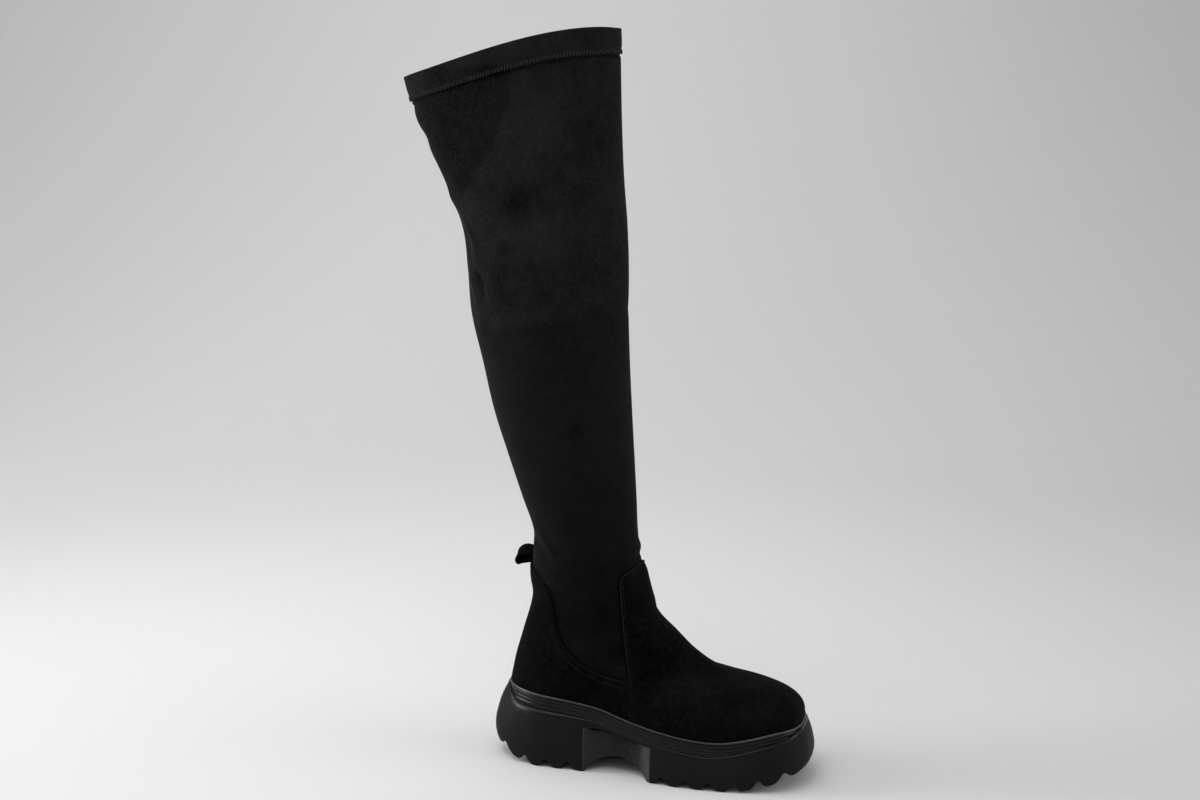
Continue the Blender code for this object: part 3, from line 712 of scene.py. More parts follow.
def leg_tone(points):
    """How light the leg is at points, round 0, with its nap, painted shade and light, and the change with
    height.
    """
    by_height = np.interp(points[..., 2], *np.array(HEIGHT_TONE).T)
    return nap(points, LEG_NAP_AND_PAINTED_SHADING) + nap_and_shade_patch_tone(points) + edge_shadow(points) + by_height


# Meshes

def grid_faces(rows, columns, wrap=False, closed=False, start=0):
    """Quads of a grid of points. It may wrap to its first column, and close to its first row."""
    i, j = np.meshgrid(
        np.arange(rows if closed else rows - 1), np.arange(columns if wrap else columns - 1), indexing="ij")
    k = (j + 1) % columns
    near = i * columns
    far = (i + 1) % rows * columns
    return np.stack([near + j, near + k, far + k, far + j], axis=-1).reshape(-1, 4) + start


def skirt(rows, columns):
    """Quads round the four sides of a panel, from its outer grid to its inner one."""
    top = np.arange(columns)
    right = np.arange(1, rows) * columns + columns - 1
    bottom = (rows - 1) * columns + np.arange(columns - 2, -1, -1)
    left = np.arange(rows - 2, 0, -1) * columns
    loop = np.concatenate([top, right, bottom, left])
    after = np.roll(loop, -1)
    return np.stack([loop, after, after + rows * columns, loop + rows * columns], axis=-1)


def cap(sides):
    """Quads across a ring with an even number of points."""
    i = np.arange(sides // 2 - 1)
    return np.stack([i, i + 1, sides - 2 - i, sides - 1 - i], axis=-1)


def add_object(name, data):
    """A new object in the scene."""
    added = bpy.data.objects.new(name, data)
    bpy.context.scene.collection.objects.link(added)
    return added


def make_piece(name, points, faces, materials, replaces=None, tone=None, second=None, sharp=None):
    """A closed, smooth piece from points of the boot's frame, riding on the boot.

    Second tells which faces have the second material, and sharp above which angle edges stay sharp.
    """
    points = np.asarray(points, float).reshape(-1, 3)
    mesh = bpy.data.meshes.new(name)
    mesh.from_pydata(((points + ROW_SHIFT) * MM).tolist(), [], faces.tolist())
    for material in materials:
        mesh.materials.append(material)
    if second is not None:
        mesh.polygons.foreach_set("material_index", second.astype(np.int32))
    if tone is not None:
        layer = mesh.attributes.new("tone", "FLOAT", "POINT")
        layer.data.foreach_set("value", tone.astype(np.float32).ravel())
    work = bmesh.new()
    work.from_mesh(mesh)
    bmesh.ops.remove_doubles(work, verts=work.verts, dist=WELD_GAP * MM)
    bmesh.ops.dissolve_degenerate(work, edges=work.edges, dist=SHORTEST_EDGE * MM)
    bmesh.ops.recalc_face_normals(work, faces=work.faces)
    work.to_mesh(mesh)
    work.free()
    mesh.shade_smooth()
    if sharp is not None:
        mesh.set_sharp_from_angle(angle=sharp)
    piece = add_object(name, mesh)
    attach(piece, BODY)
    if replaces:
        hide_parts(replaces)


# Materials

def node(tree, kind, inputs=None, **settings):
    """A shader node with its settings, its inputs linked to outputs or set to values."""
    made = tree.nodes.new("ShaderNode" + kind)
    for name, value in settings.items():
        setattr(made, name, value)
    for key, value in (inputs or {}).items():
        if isinstance(value, bpy.types.NodeSocket):
            tree.links.new(value, made.inputs[key])
        else:
            made.inputs[key].default_value = value
    return made


def object_place(tree):
    """The object's own coordinates, in metres."""
    return node(tree, "TexCoord").outputs["Object"]


def new_material(name, roughness, specular):
    """A node material, its tree and its shader."""
    material = bpy.data.materials.new(name)
    material.use_nodes = True
    shader = material.node_tree.nodes["Principled BSDF"]
    shader.inputs["Roughness"].default_value = roughness
    shader.inputs["Specular IOR Level"].default_value = specular
    return material, material.node_tree, shader


def noise(tree, scale, detail, roughness):
    """A noise over the object, in cells per metre."""
    inputs = {"Vector": object_place(tree), "Scale": scale, "Detail": detail, "Roughness": roughness}
    return node(tree, "TexNoise", inputs).outputs["Fac"]


def weighted(tree, start, *terms):
    """A start value plus each output times its weight."""
    total = start
    for output, weight in terms:
        total = node(tree, "Math", {0: output, 1: weight, 2: total}, operation="MULTIPLY_ADD").outputs[0]
    return total


def swing(tree, output, factor):
    """How far an output lies from a half, times a factor."""
    from_half = weighted(tree, -0.5, (output, 1.0))
    return node(tree, "Math", {0: from_half, 1: factor}, operation="MULTIPLY").outputs[0]


def colour_between(tree, shader, amount, dark, light, most=TONE_MOST):
    """The base colour runs from dark at 0 to light at 1, and on past it up to a most."""
    within = node(tree, "Clamp", {"Value": amount, "Max": most}).outputs["Result"]
    inputs = {0: within, 1: np.subtract(light, dark), 2: dark}
    colour = node(tree, "VectorMath", inputs, operation="MULTIPLY_ADD").outputs["Vector"]
    tree.links.new(colour, shader.inputs["Base Color"])


def bump(tree, shader, height, strength, distance):
    """Relief from a height, in metres."""
    relief = node(tree, "Bump", {"Height": height, "Strength": strength, "Distance": distance})
    tree.links.new(relief.outputs["Normal"], shader.inputs["Normal"])


def piece_tone(tree):
    """The tone that a piece's own points carry."""
    return node(tree, "Attribute", attribute_name="tone").outputs["Fac"]


def calm_below(tree, least):
    """A factor that grows with height from a least value to 1."""
    height = node(tree, "SeparateXYZ", {"Vector": object_place(tree)}).outputs["Z"]
    low, high = CALM_HEIGHTS
    inputs = {"Value": height, "From Min": low, "From Max": high, "To Min": least}
    return node(tree, "MapRange", inputs).outputs["Result"]


def suede(name, dark, light, sheen, cloud, mottle, fleck, fibre_scale, calm=1.0):
    """Napped suede: clouds where the nap lies over, fine fibres, and a faint sheen."""
    material, tree, shader = new_material(name, **SUEDE_GLOSS)
    shader.inputs["Sheen Weight"].default_value = sheen
    shader.inputs["Sheen Roughness"].default_value = SHEEN_ROUGHNESS
    mottles = noise(tree, *MOTTLES)
    flecks = noise(tree, fibre_scale, *FLECKS)
    fibres = noise(tree, FIBRE_FINENESS * fibre_scale, *FIBRES)
    factor = calm_below(tree, calm)
    parts = (
        (noise(tree, *CLOUDS), cloud), (noise(tree, *PATCHES), PATCH_WEIGHT),
        (mottles, mottle), (flecks, fleck))
    terms = [(swing(tree, output, factor), weight) for output, weight in parts]
    colour_between(tree, shader, weighted(tree, SUEDE_TONE, (piece_tone(tree), 1.0), *terms), dark, light)
    height = weighted(tree, 0.0, (fibres, 1.0), (flecks, 1.0), (mottles, MOTTLE_RELIEF))
    bump(tree, shader, height, **SUEDE_RELIEF)
    return material


def rubber(name, dark, light, roughness, specular, grain):
    """Moulded rubber: a fine grain and faint unevenness of colour and gloss."""
    material, tree, shader = new_material(name, roughness, specular)
    uneven = noise(tree, *UNEVEN)
    speckle = noise(tree, *SPECKLE)
    start, by_uneven, by_speckle = RUBBER_COLOUR
    tone = (piece_tone(tree), 1.0)
    amount = weighted(tree, start, (uneven, by_uneven), (speckle, by_speckle), tone)
    colour_between(tree, shader, amount, dark, light)
    start, by_uneven, by_speckle = RUBBER_ROUGHNESS
    gloss = weighted(tree, roughness + start, (uneven, by_uneven), (speckle, by_speckle))
    tree.links.new(gloss, shader.inputs["Roughness"])
    height = weighted(tree, 0.0, (speckle, 1.0), (uneven, UNEVEN_RELIEF))
    bump(tree, shader, height, grain, RUBBER_RELIEF)
    return material


def woven(name, dark, light, scale):
    """A fine knit: crossing ribs and a little fuzz."""
    material, tree, shader = new_material(name, **MATTE)
    inputs = {"Vector": object_place(tree), "Scale": scale, "Distortion": KNIT_DISTORTION}
    ribs = [node(tree, "TexWave", inputs, bands_direction=axis).outputs["Fac"] for axis in ("X", "Z")]
    fuzz = noise(tree, *FUZZ)
    start, by_rib, by_fuzz = KNIT_COLOUR
    amount = weighted(tree, start, *[(rib, by_rib) for rib in ribs], (fuzz, by_fuzz))
    colour_between(tree, shader, amount, dark, light)
    start, by_rib, by_fuzz = KNIT_HEIGHT
    height = weighted(tree, start, *[(rib, by_rib) for rib in ribs], (fuzz, by_fuzz))
    bump(tree, shader, height, **KNIT_RELIEF)
    return material


STRETCH_SUEDE = suede(
    "stretch_suede", dark=(0.0026, 0.0025, 0.0027), light=(0.0150, 0.0145, 0.0151), sheen=0.038,
    cloud=0.75, mottle=0.8, fleck=1.5, fibre_scale=520.0, calm=0.40)
FOOT_SUEDE = suede(
    "foot_suede", dark=(0.0005, 0.0005, 0.0005), light=(0.0050, 0.0050, 0.0050), sheen=0.02,
    cloud=0.90, mottle=1.5, fleck=1.2, fibre_scale=420.0)
HEM_THREAD = suede(
    "hem_thread", dark=(0.018, 0.017, 0.019), light=(0.056, 0.053, 0.058), sheen=0.10,
    cloud=0.2, mottle=1.0, fleck=0.6, fibre_scale=900.0)
SEAM_THREAD = suede(
    "seam_thread", dark=(0.007, 0.007, 0.007), light=(0.022, 0.022, 0.022), sheen=0.05,
    cloud=0.2, mottle=1.0, fleck=0.6, fibre_scale=900.0)
SOLE_RUBBER = rubber(
    "sole_rubber", dark=(0.0034, 0.0029, 0.0035), light=(0.060, 0.057, 0.060),
    roughness=0.58, specular=0.09, grain=0.30)
BAND_RUBBER = rubber(
    "band_rubber", dark=(0.0032, 0.0027, 0.0033), light=(0.028, 0.026, 0.028),
    roughness=0.30, specular=0.19, grain=0.04)
# The bead's rubber is glossier, and paler as a painted highlight along the bead.
BEAD_RUBBER = rubber(
    "bead_rubber", dark=(0.006, 0.0055, 0.006), light=(0.060, 0.058, 0.060),
    roughness=0.22, specular=0.40, grain=0.02)
LINING = woven("lining", dark=(0.004, 0.004, 0.0045), light=(0.011, 0.011, 0.012), scale=320.0)
INSOLE_CLOTH = woven("insole_cloth", dark=(0.008, 0.008, 0.008), light=(0.020, 0.020, 0.020), scale=240.0)


# Leg

def leg_turns():
    """Columns round the leg, closer at the back seam."""
    even = round_turns(LEG_COLUMNS)
    clear = even[np.abs(even - np.pi) > SEAM_CLEAR]
    near = [np.pi + side * step for side in (-1, 1) for step in SEAM_STEPS]
    return np.sort(np.concatenate([clear, [np.pi], near]))


def leg_start(turns):
    """The level where each column of the leg ends under the suede."""
    levels = np.linspace(0, LEG_JOIN_LEVEL - 1, LEVEL_SAMPLES)
    points = skin(levels[:, None], turns)
    by_counter = under_counter(points, LAP) > 0
    by_vamp = (ahead_of_vamp_edge(points, LAP) > 0) | (points[..., 2] < V_FOOT_Z - LAP)
    covered = np.where(along_foot(turns) < SEAM_ALONG, by_counter, by_vamp)
    return levels[np.argmin(covered, axis=0)]


def level_at_drop(turns, drop):
    """The level at a height below the collar's edge, for each column."""
    levels = np.linspace(TOP_LEVEL - HEM_LEVELS, TOP_LEVEL, LEVEL_SAMPLES)
    heights = skin(levels[:, None], turns)[..., 2]
    wanted = heights[-1] - drop
    return np.array([np.interp(z, heights[:, i], levels) for i, z in enumerate(wanted)])


def hem_height(turns):
    """How tall the hem is round the leg."""
    return read(HEM, "height", along_foot(turns))


def back_seam(level, turns, points):
    """The seam down the back: a groove between two lips."""
    aside = np.abs(points[..., 1] - skin(level, np.pi)[..., 1])
    relief = SEAM_LIP * bell(aside - SEAM_LIP_PLACE, SEAM_LIP_WIDTH)
    relief = relief - SEAM_GROOVE * bell(aside, SEAM_GROOVE_WIDTH)
    at_back = np.abs(turns - np.pi) < SEAM_REACH
    return np.where(at_back & (level > SEAM_FOOT_LEVEL), relief, 0.0)


def raised(points, turns, share):
    """A row of the hem lifted by its share of the collar's slight rise, which dips at the very front."""
    from_front = np.minimum(turns, 2 * np.pi - turns)
    lifted = points.copy()
    lifted[:, 2] += share * (HEM_RAISE - HEM_FRONT_DIP * bell(from_front, HEM_FRONT_TURN))
    return lifted


def plain_levels(turns):
    """Levels of the leg's rows from its lap under the suede up to the hem."""
    start = leg_start(turns)
    hem_level = level_at_drop(turns, hem_height(turns) + HEM_GROOVE)
    low = start + (LEG_JOIN_LEVEL - start) * np.linspace(0, 1, LEG_LOW_ROWS)[:, None]
    fine = np.linspace(LEG_JOIN_LEVEL, TOP_LEVEL, LEVEL_SAMPLES)
    heights = skin(fine, np.pi / 2)[:, 2]
    even = np.interp(np.linspace(heights[0], heights[-1], LEG_HIGH_ROWS), heights, fine)
    share = ((even - even[0]) / (even[-1] - even[0]))[1:-1]
    return np.concatenate([low, LEG_JOIN_LEVEL + (hem_level - LEG_JOIN_LEVEL) * share[:, None]])


def make_leg():
    """The stretch leg: creased outside, hem with a round fold, and lining down the inside."""
    turns = leg_turns()
    hem = hem_height(turns)
    plain = plain_levels(turns)
    base = skin(plain, turns)
    shift = creases(base, LEG_CREASES) - np.interp(plain, LAP_LEVELS, (LAP_SINK, 0.0))
    rows = [wall(plain, turns, shift + back_seam(plain, turns, base))]
    profile = [(hem - up * (hem - HEM_FOLD_RADIUS), out, max(up, 0.0)) for up, out in HEM_PROFILE]
    for angle in np.linspace(0, np.pi, HEM_FOLD_STEPS):
        out = HEM_OUT + HEM_FOLD_RADIUS * (np.cos(angle) - 1)
        profile.append((HEM_FOLD_RADIUS * (1 - np.sin(angle)), out, 1.0))
    for drop, out, share in profile:
        rows.append(raised(wall(level_at_drop(turns, drop), turns, out), turns, share)[None])
    picked = np.linspace(len(plain) - 1, 0, LEG_INNER_ROWS).astype(int)
    rows.append(wall(plain[picked], turns, shift[picked] - SHAFT_WALL))
    points = np.concatenate(rows)
    faces = grid_faces(len(points), len(turns), wrap=True, closed=True)
    lining = faces.min(axis=1) >= (len(points) - LEG_INNER_ROWS) * len(turns)
    tone = leg_tone(points)
    under_hem = sum(up <= 0 for up, out in HEM_PROFILE)
    tone[len(plain):-LEG_INNER_ROWS] += HEM_TONE
    tone[len(plain):len(plain) + under_hem] += HEM_SHADOW_TONE
    make_piece("leg", points, faces, (STRETCH_SUEDE, LINING), "shaft", tone, lining)


# Suede panels

def crossing(depth, places):
    """Where depth first falls to nothing down each column, as a value of places."""
    out = np.argmax(depth <= 0, axis=0)
    pick = np.arange(depth.shape[1])
    before = depth[out - 1, pick]
    share = before / (before - depth[out, pick])
    return places[out - 1] + share * (places[out] - places[out - 1])


def vamp_edge(inset):
    """Levels and turns along the vamp's edge, from the feather line over the throat and down again."""
    heights = np.linspace(0, LEG_JOIN_LEVEL, LEVEL_SAMPLES * LEVEL_REFINE)
    top = heights[np.argmax(ahead_of_vamp_edge(skin(heights, 0.0), inset) <= 0)]
    levels = top * (1 - np.linspace(1, 0, BOUNDARY_SAMPLES)[:-1] ** 2)
    turns = np.linspace(0, np.pi, ROW_SAMPLES)
    half = []
    for side in (1, -1):
        depth = ahead_of_vamp_edge(skin(levels, side * turns[:, None]), inset)
        half.append(side * crossing(depth, turns))
    both_levels = np.concatenate([levels, [top], levels[::-1]])
    return both_levels, np.concatenate([half[0], [0.0], half[1][::-1]])


def counter_edge(inset, lap):
    """Levels and turns along the counter's edge, from under the vamp round the heel to the other side."""
    front = np.arccos(2 * (SEAM_ALONG + lap) - 1)
    turns = np.linspace(front, 2 * np.pi - front, BOUNDARY_SAMPLES)
    levels = np.linspace(0, LEG_JOIN_LEVEL, LEVEL_SAMPLES)
    return crossing(under_counter(skin(levels[:, None], turns), inset), levels), turns


def across_half(level, end):
    """Turns of one row from the vamp's edge in to the middle, closer near the edge."""
    fine = np.linspace(end, 0, ROW_SAMPLES)
    walked = walked_length(skin(level, fine))
    span = min(PANEL_NEAR_REACH, PANEL_NEAR_SHARE * walked[-1])
    near = np.linspace(0, span, PANEL_NEAR_STEPS, endpoint=False)
    far = np.linspace(span, walked[-1], PANEL_COLUMNS)
    return np.interp(np.concatenate([near, far]), walked, fine)


def vamp_grid():
    """Levels and turns of the vamp's rows, which are closer near its edges."""
    edge_levels, edge_turns = vamp_edge(0.0)
    fine = np.linspace(0, edge_levels.max() * (1 - TOP_MARGIN), LEVEL_SAMPLES)
    walked = walked_length(skin(fine, 0.0))
    far = np.arange(0, walked[-1] - PANEL_TOP_REACH, PANEL_ROW_STEP)
    near = np.arange(walked[-1] - PANEL_TOP_REACH, walked[-1], PANEL_TOP_STEP)
    levels = np.interp(np.concatenate([far, near]), walked, fine)
    outer = len(edge_levels) // 2 + 1
    rows = []
    for level in levels:
        halves = []
        for edge in (edge_turns, edge_turns[::-1]):
            halves.append(across_half(level, np.interp(level, edge_levels[:outer], edge[:outer])))
        rows.append(np.concatenate([halves[0], halves[1][-2::-1]]))
    turns = np.array(rows)
    return np.broadcast_to(levels[:, None], turns.shape), turns


def counter_grid():
    """Levels and turns of the counter's columns, which are closer near its edge."""
    edge_levels, edge_turns = counter_edge(0.0, COUNTER_LAP_ALONG)
    walked = walked_length(skin(edge_levels, edge_turns))
    places = np.linspace(0, walked[-1], round(walked[-1] / COUNTER_COLUMN_STEP))
    turns = np.interp(places, walked, edge_turns)
    fine = np.linspace(1, 0, ROW_SAMPLES)
    near = np.linspace(0, PANEL_NEAR_REACH, PANEL_NEAR_STEPS, endpoint=False)
    columns = []
    for turn, top in zip(turns, np.interp(places, walked, edge_levels)):
        down = walked_length(skin(top * fine, turn))
        far = np.linspace(PANEL_NEAR_REACH, down[-1], COUNTER_ROWS)
        columns.append(np.interp(np.concatenate([near, far]), down, top * fine))
    levels = np.array(columns).T
    return levels, np.broadcast_to(turns, levels.shape)


def panel_lift(points, gap, height, stitch_inset, laps):
    """How high a panel stands, by the gap to its edge: round edge, stitch line, full wall, and its lap."""
    rounded = np.sqrt(np.clip(1 - (1 - np.clip(gap / EDGE_ROUND, 0, 1)) ** 2, 0, 1))
    rise = EDGE_HEIGHT * rounded + (height - EDGE_HEIGHT) * ramp(gap, EDGE_ROUND, EDGE_ROUND + EDGE_BLEND)
    rise = rise - STITCH_SINK * bell(gap - stitch_inset, STITCH_SINK_WIDTH)
    if laps:
        rise = rise + LAP_LIFT * ramp(points[..., 2], *LAP_LIFT_RANGE) * ramp(gap, *LAP_LIFT_REACH)
    return SUEDE_BASE + GAP + rise


def make_panel(name, grid, edge, height, stitch_line, stitch_inset, raw_tone, laps):
    """A closed suede panel over the skin, with a rounded, stitched edge."""
    base = skin(*grid)
    gap = distance_to(base, skin(*edge))
    fold = creases(base, FOOT_CREASES)
    outer = wall(*grid, panel_lift(base, gap, height, stitch_inset, laps) + fold)
    inner = wall(*grid, SUEDE_BASE + np.minimum(fold, 0.0))
    points = np.concatenate([outer, inner])
    size = gap.shape
    faces = np.concatenate([grid_faces(*size), grid_faces(*size, start=gap.size), skirt(*size)])
    raw_edge = raw_tone * bell(gap, RAW_EDGE_WIDTH) * ramp(base[..., 2], *RAW_EDGE_HEIGHTS)
    tone = nap(points, FOOT_NAP) + np.concatenate([raw_edge, raw_edge])
    make_piece(name, points, faces, (FOOT_SUEDE,), "upper", tone)
    sewn = skin(*stitch_line)
    lift = panel_lift(sewn, np.full(len(sewn), stitch_inset), height, stitch_inset, laps)
    lift = lift + SEAM_STITCH["radius"] / 2
    make_stitches(name + "_stitches", stitch_line, lift, SEAM_STITCH, SEAM_THREAD)


def make_foot():
    """The counter round the heel and the vamp, which laps over it."""
    make_panel("counter", counter_grid(), counter_edge(0.0, COUNTER_LAP_ALONG), COUNTER_HEIGHT,
               counter_edge(COUNTER_STITCH_INSET, 0.0), COUNTER_STITCH_INSET, COUNTER_RAW_TONE, laps=False)
    make_panel("vamp", vamp_grid(), vamp_edge(0.0), VAMP_HEIGHT,
               vamp_edge(VAMP_STITCH_INSET), VAMP_STITCH_INSET, VAMP_RAW_TONE, laps=True)


# Stitches

def make_stitches(name, line, lift, kind, thread):
    """A row of raised stitches along a line on the skin, each turned from the line by its slant."""
    chance = np.random.default_rng(STITCH_SEED)
    path = wall(*line, lift)
    outward = normals(*line)
    walked = walked_length(path)
    pitch = kind["pitch"]

    def at(values, where):
        return np.stack([np.interp(where, walked, values[:, axis]) for axis in range(3)], axis=-1)

    places = np.arange(pitch, walked[-1] - pitch, pitch)
    places = places + STITCH_WANDER * chance.standard_normal(len(places))
    up = unit(at(outward, places))
    run = unit(at(path, places + pitch / 4) - at(path, places - pitch / 4))
    across = np.cross(up, run)
    middle = at(path, places) + STITCH_WANDER * chance.standard_normal((len(places), 1)) * across
    lean = kind["slant"] + STITCH_TURN * chance.standard_normal((len(places), 1))
    lie = np.cos(lean) * run + np.sin(lean) * across
    beside = np.cross(up, lie)
    points = []
    for angle in np.linspace(0, np.pi, STITCH_RINGS):
        along = -kind["length"] / 2 * np.cos(angle)
        thick = kind["radius"] * np.sin(angle) ** STITCH_BLUNTNESS
        for side in round_turns(STITCH_SIDES):
            points.append(middle + along * lie + thick * (np.cos(side) * beside + np.sin(side) * up))
    one = grid_faces(STITCH_RINGS, STITCH_SIDES, wrap=True)
    faces = np.concatenate([one + i * len(points) for i in range(len(places))])
    make_piece(name, np.stack(points, axis=1), faces, (thread,))


def make_hem_seam():
    """The slanted cover stitches that hold the hem."""
    turns = np.linspace(0, 2 * np.pi, BOUNDARY_SAMPLES)
    levels = level_at_drop(turns, hem_height(turns) - HEM_STITCH_RISE)
    make_stitches("hem_seam", (levels, turns), HEM_STITCH_LIFT, HEM_STITCH, HEM_THREAD)


# Sole

def tread_height(x):
    """Height of the tread line without grooves or arch."""
    height = np.maximum(read(TREAD, "z", x), 0.0)
    return np.where((x > FLAT_START) & (x < FLAT_END), 0.0, height)


def sole_bottom(x):
    """Height of the sole's underside: tread, grooves between the lugs, and the arch."""
    half_widths, depths = np.array(GROOVE[::-1]).T
    rise = np.zeros(np.shape(x))
    for place in LUG_GROOVES:
        rise = np.maximum(rise, np.interp(np.abs(x - place), half_widths, depths, right=0.0))
    arch = smooth_path(ARCH, EDGE_POINTS)
    return np.maximum(tread_height(x) + rise, np.interp(x, *arch.T, left=0.0, right=0.0))


def sole_columns():
    """The x of the sole's columns, their turns on the outer and inner edge, and both ends' turns."""
    turns = np.linspace(SEAM_START, SEAM_START + 2 * np.pi, OUTLINE_SAMPLES)
    line = outline(turns, read(FLARE, "flare", along_foot(turns)))
    edge = line[:, 0]
    toe = np.argmax(edge)
    heel = np.argmin(edge)
    outer = slice(heel, toe, -1)
    walked = walked_length(line[outer])
    x = np.interp(np.arange(SOLE_COLUMN_STEP, walked[-1], SOLE_COLUMN_STEP), walked, edge[outer])
    reach = GROOVE[0][0]
    grooves = tuple((place - reach, place + reach) for place in LUG_GROOVES)
    for low, high in SOLE_FINE_STRETCHES + grooves:
        x = np.concatenate([x[(x < low) | (x > high)], np.arange(low, high, SOLE_FINE_STEP)])
    x = np.sort(x)
    x = x[(x > edge[heel] + SOLE_END_MARGIN) & (x < edge[toe] - SOLE_END_MARGIN)]
    x = x[np.concatenate([[True], np.diff(x) > SOLE_LEAST_STEP])]
    inner_turns = np.concatenate([turns[heel:], turns[:toe + 1] + 2 * np.pi])
    inner_x = np.concatenate([edge[heel:], edge[:toe + 1]])
    outer_turns = np.interp(x, edge[outer], turns[outer])
    return x, outer_turns, np.interp(x, inner_x, inner_turns), turns[heel], turns[toe]


def recess(x, name):
    """The depth of the waist's recess in the flank, or the height of the lip over it."""
    return np.interp(x, RECESS["x"], RECESS[name])


def in_recess(x):
    """Whether an x lies between the recess's ends."""
    return (x > RECESS["x"][0]) & (x < RECESS["x"][-1])


def knurl(x, z, lip, bottom):
    """Raised diagonal cross-hatch on the recess's wall, fading out at its edges."""
    wave = np.sqrt(2) * np.pi / KNURL_PITCH
    hatch = np.maximum(np.cos(wave * (x + z)), np.cos(wave * (x - z)))
    ends = ramp(x, *KNURL_START) * ramp(x, *KNURL_END)
    edges = ramp(lip - z, KNURL_MARGIN, 2 * KNURL_MARGIN) * ramp(z - bottom, 0.0, KNURL_MARGIN)
    return KNURL_DEPTH * ends * edges * hatch


def slit(x, z, lip):
    """The recess is cut deeper right under its lip."""
    along = ramp(x, *SLIT_START) * ramp(x, *SLIT_END)
    return SLIT_DEPTH * along * ramp(lip - z, SLIT_DROP + SLIT_EDGE, SLIT_DROP)


def side_heights(top, lip, bottom):
    """Heights of the rows below the shoulder: to the lip, over its ledge, down the wall, round the edge."""
    ledge = lip - LEDGE
    edge = bottom + SOLE_EDGE_ROUND
    heights = [top + (lip + LEDGE / 2 - top) * share for share in np.linspace(0, 1, SOLE_UPPER_ROWS)[1:]]
    heights += [lip - LEDGE * share for share in LEDGE_SHARES]
    heights += [ledge + (edge - ledge) * share for share in np.linspace(0, 1, SOLE_LOWER_ROWS)[1:]]
    angles = np.linspace(0, np.pi / 2, SOLE_ROUND_ROWS)[1:]
    return heights + [bottom + SOLE_EDGE_ROUND * (1 - np.sin(angle)) for angle in angles]


def sole_side(turns, x):
    """Rows of points down the sole's side for each column, from the seat to the floor edge."""
    along = along_foot(turns)
    reach, roundness, rise = (read(RIM, name, along) for name in ("reach", "round", "rise"))
    feather = skin(0.0, turns)[:, 2]
    foot = feather + BAND_LIP - BAND_HEIGHT + rise
    upper = [(CORE_OFFSET + reach, feather - SEAT_DEPTH), (CORE_OFFSET + reach, foot)]
    upper += [(SHOULDER_OFFSET + reach + out * roundness, foot + fall * roundness) for out, fall in SHOULDER]
    rows = [np.column_stack([outline(turns, offset)[:, :2], height]) for offset, height in upper]
    start, top = upper[-1]
    base = tread_height(x)
    bottom = sole_bottom(x)
    lip = np.minimum(recess(x, "lip"), top - 2 * LEDGE)
    flare = read(FLARE, "flare", along)
    recess_wall = np.abs(outline(turns, flare)[:, 1]) - recess(x, "inset")
    for z in side_heights(top, lip, bottom):
        out = start + (flare - start) * read(SWELL, "share", (top - z) / (top - base))
        close = np.clip((z - bottom) / SOLE_EDGE_ROUND, 0, 1)
        under = SOLE_EDGE_ROUND * (1 - np.sqrt(1 - (1 - close) ** 2))
        breadth = np.abs(outline(turns, out)[:, 1])
        wall_at = recess_wall + knurl(x, z, lip, bottom) - slit(x, z, lip)
        cut_in = np.maximum(breadth - wall_at, 0.0) * ramp(lip - z, 0.0, LEDGE)
        loop = outline(turns, out - under)
        loop[:, 2] = z
        loop[:, 1] -= np.sign(loop[:, 1]) * np.where(in_recess(x), cut_in, 0.0)
        rows.append(loop)
    return np.stack(rows)


def recess_painted_light_and_shade(points):
    """Painted light on the recess's wall, most on its slanted front, and painted shade in the slit under its
    lip.
    """
    x, z = points[:, [0, 2]].T
    lip = recess(x, "lip")
    lit = RECESS_PAINTED_LIGHT + RECESS_END_PAINTED_LIGHT * ramp(x, *RECESS_END)
    lit = lit + (SLANT_PAINTED_LIGHT - RECESS_PAINTED_LIGHT) * ramp(x, SLANT_START, RECESS["x"][-1])
    shade = slit(x, z, lip) / SLIT_DEPTH
    return np.where(in_recess(x) & (z < lip - LEDGE), lit * (1 - shade) + SLIT_PAINTED_SHADE * shade, 0.0)


def make_outsole():
    """The unit sole: its side all round, the tread across, and the seat on top."""
    x, outer, inner, heel, toe = sole_columns()
    turns = np.concatenate([[heel], outer, [toe], inner[::-1]])
    ends = np.array([heel, toe])
    heel_x, toe_x = outline(ends, read(FLARE, "flare", along_foot(ends)))[:, 0]
    x_all = np.concatenate([[heel_x], x, [toe_x], x[::-1]])
    side = sole_side(turns, x_all)
    rows, count = side.shape[:2]
    stations = len(x) + 2
    points = [side.reshape(-1, 3)]
    faces = [grid_faces(rows, count, wrap=True)]
    start = rows * count
    for row, across in ((0, 2), (rows - 1, SOLE_ACROSS)):
        outer_edge = side[row, :stations]
        heel_end, toe_end = side[row, [0, stations - 1]]
        inner_edge = np.concatenate([[heel_end], side[row, :stations - 1:-1], [toe_end]])
        shares = np.linspace(0, 1, across)[None, :, None]
        strip = outer_edge[:, None] * (1 - shares) + inner_edge[:, None] * shares
        if row:
            base = tread_height(x_all[:stations])[:, None]
            middle = ramp(np.minimum(shares, 1 - shares)[..., 0], 0.0, TREAD_FILL_REACH)
            strip[..., 2] -= TREAD_FILL * middle * (strip[..., 2] - base)
        points.append(strip.reshape(-1, 3))
        faces.append(grid_faces(stations, across, start=start))
        start += stations * across
    points = np.concatenate(points)
    faces = np.concatenate(faces)
    shoulder = (faces.min(axis=1) >= count) & (faces.max(axis=1) < count * (len(SHOULDER) + 2))
    shoulder &= points[faces].mean(axis=1)[:, 0] > SHOULDER_GLOSS_START
    make_piece("sole", points, faces, (SOLE_RUBBER, BAND_RUBBER), "outsole",
               recess_painted_light_and_shade(points), shoulder, SOLE_SHARP)


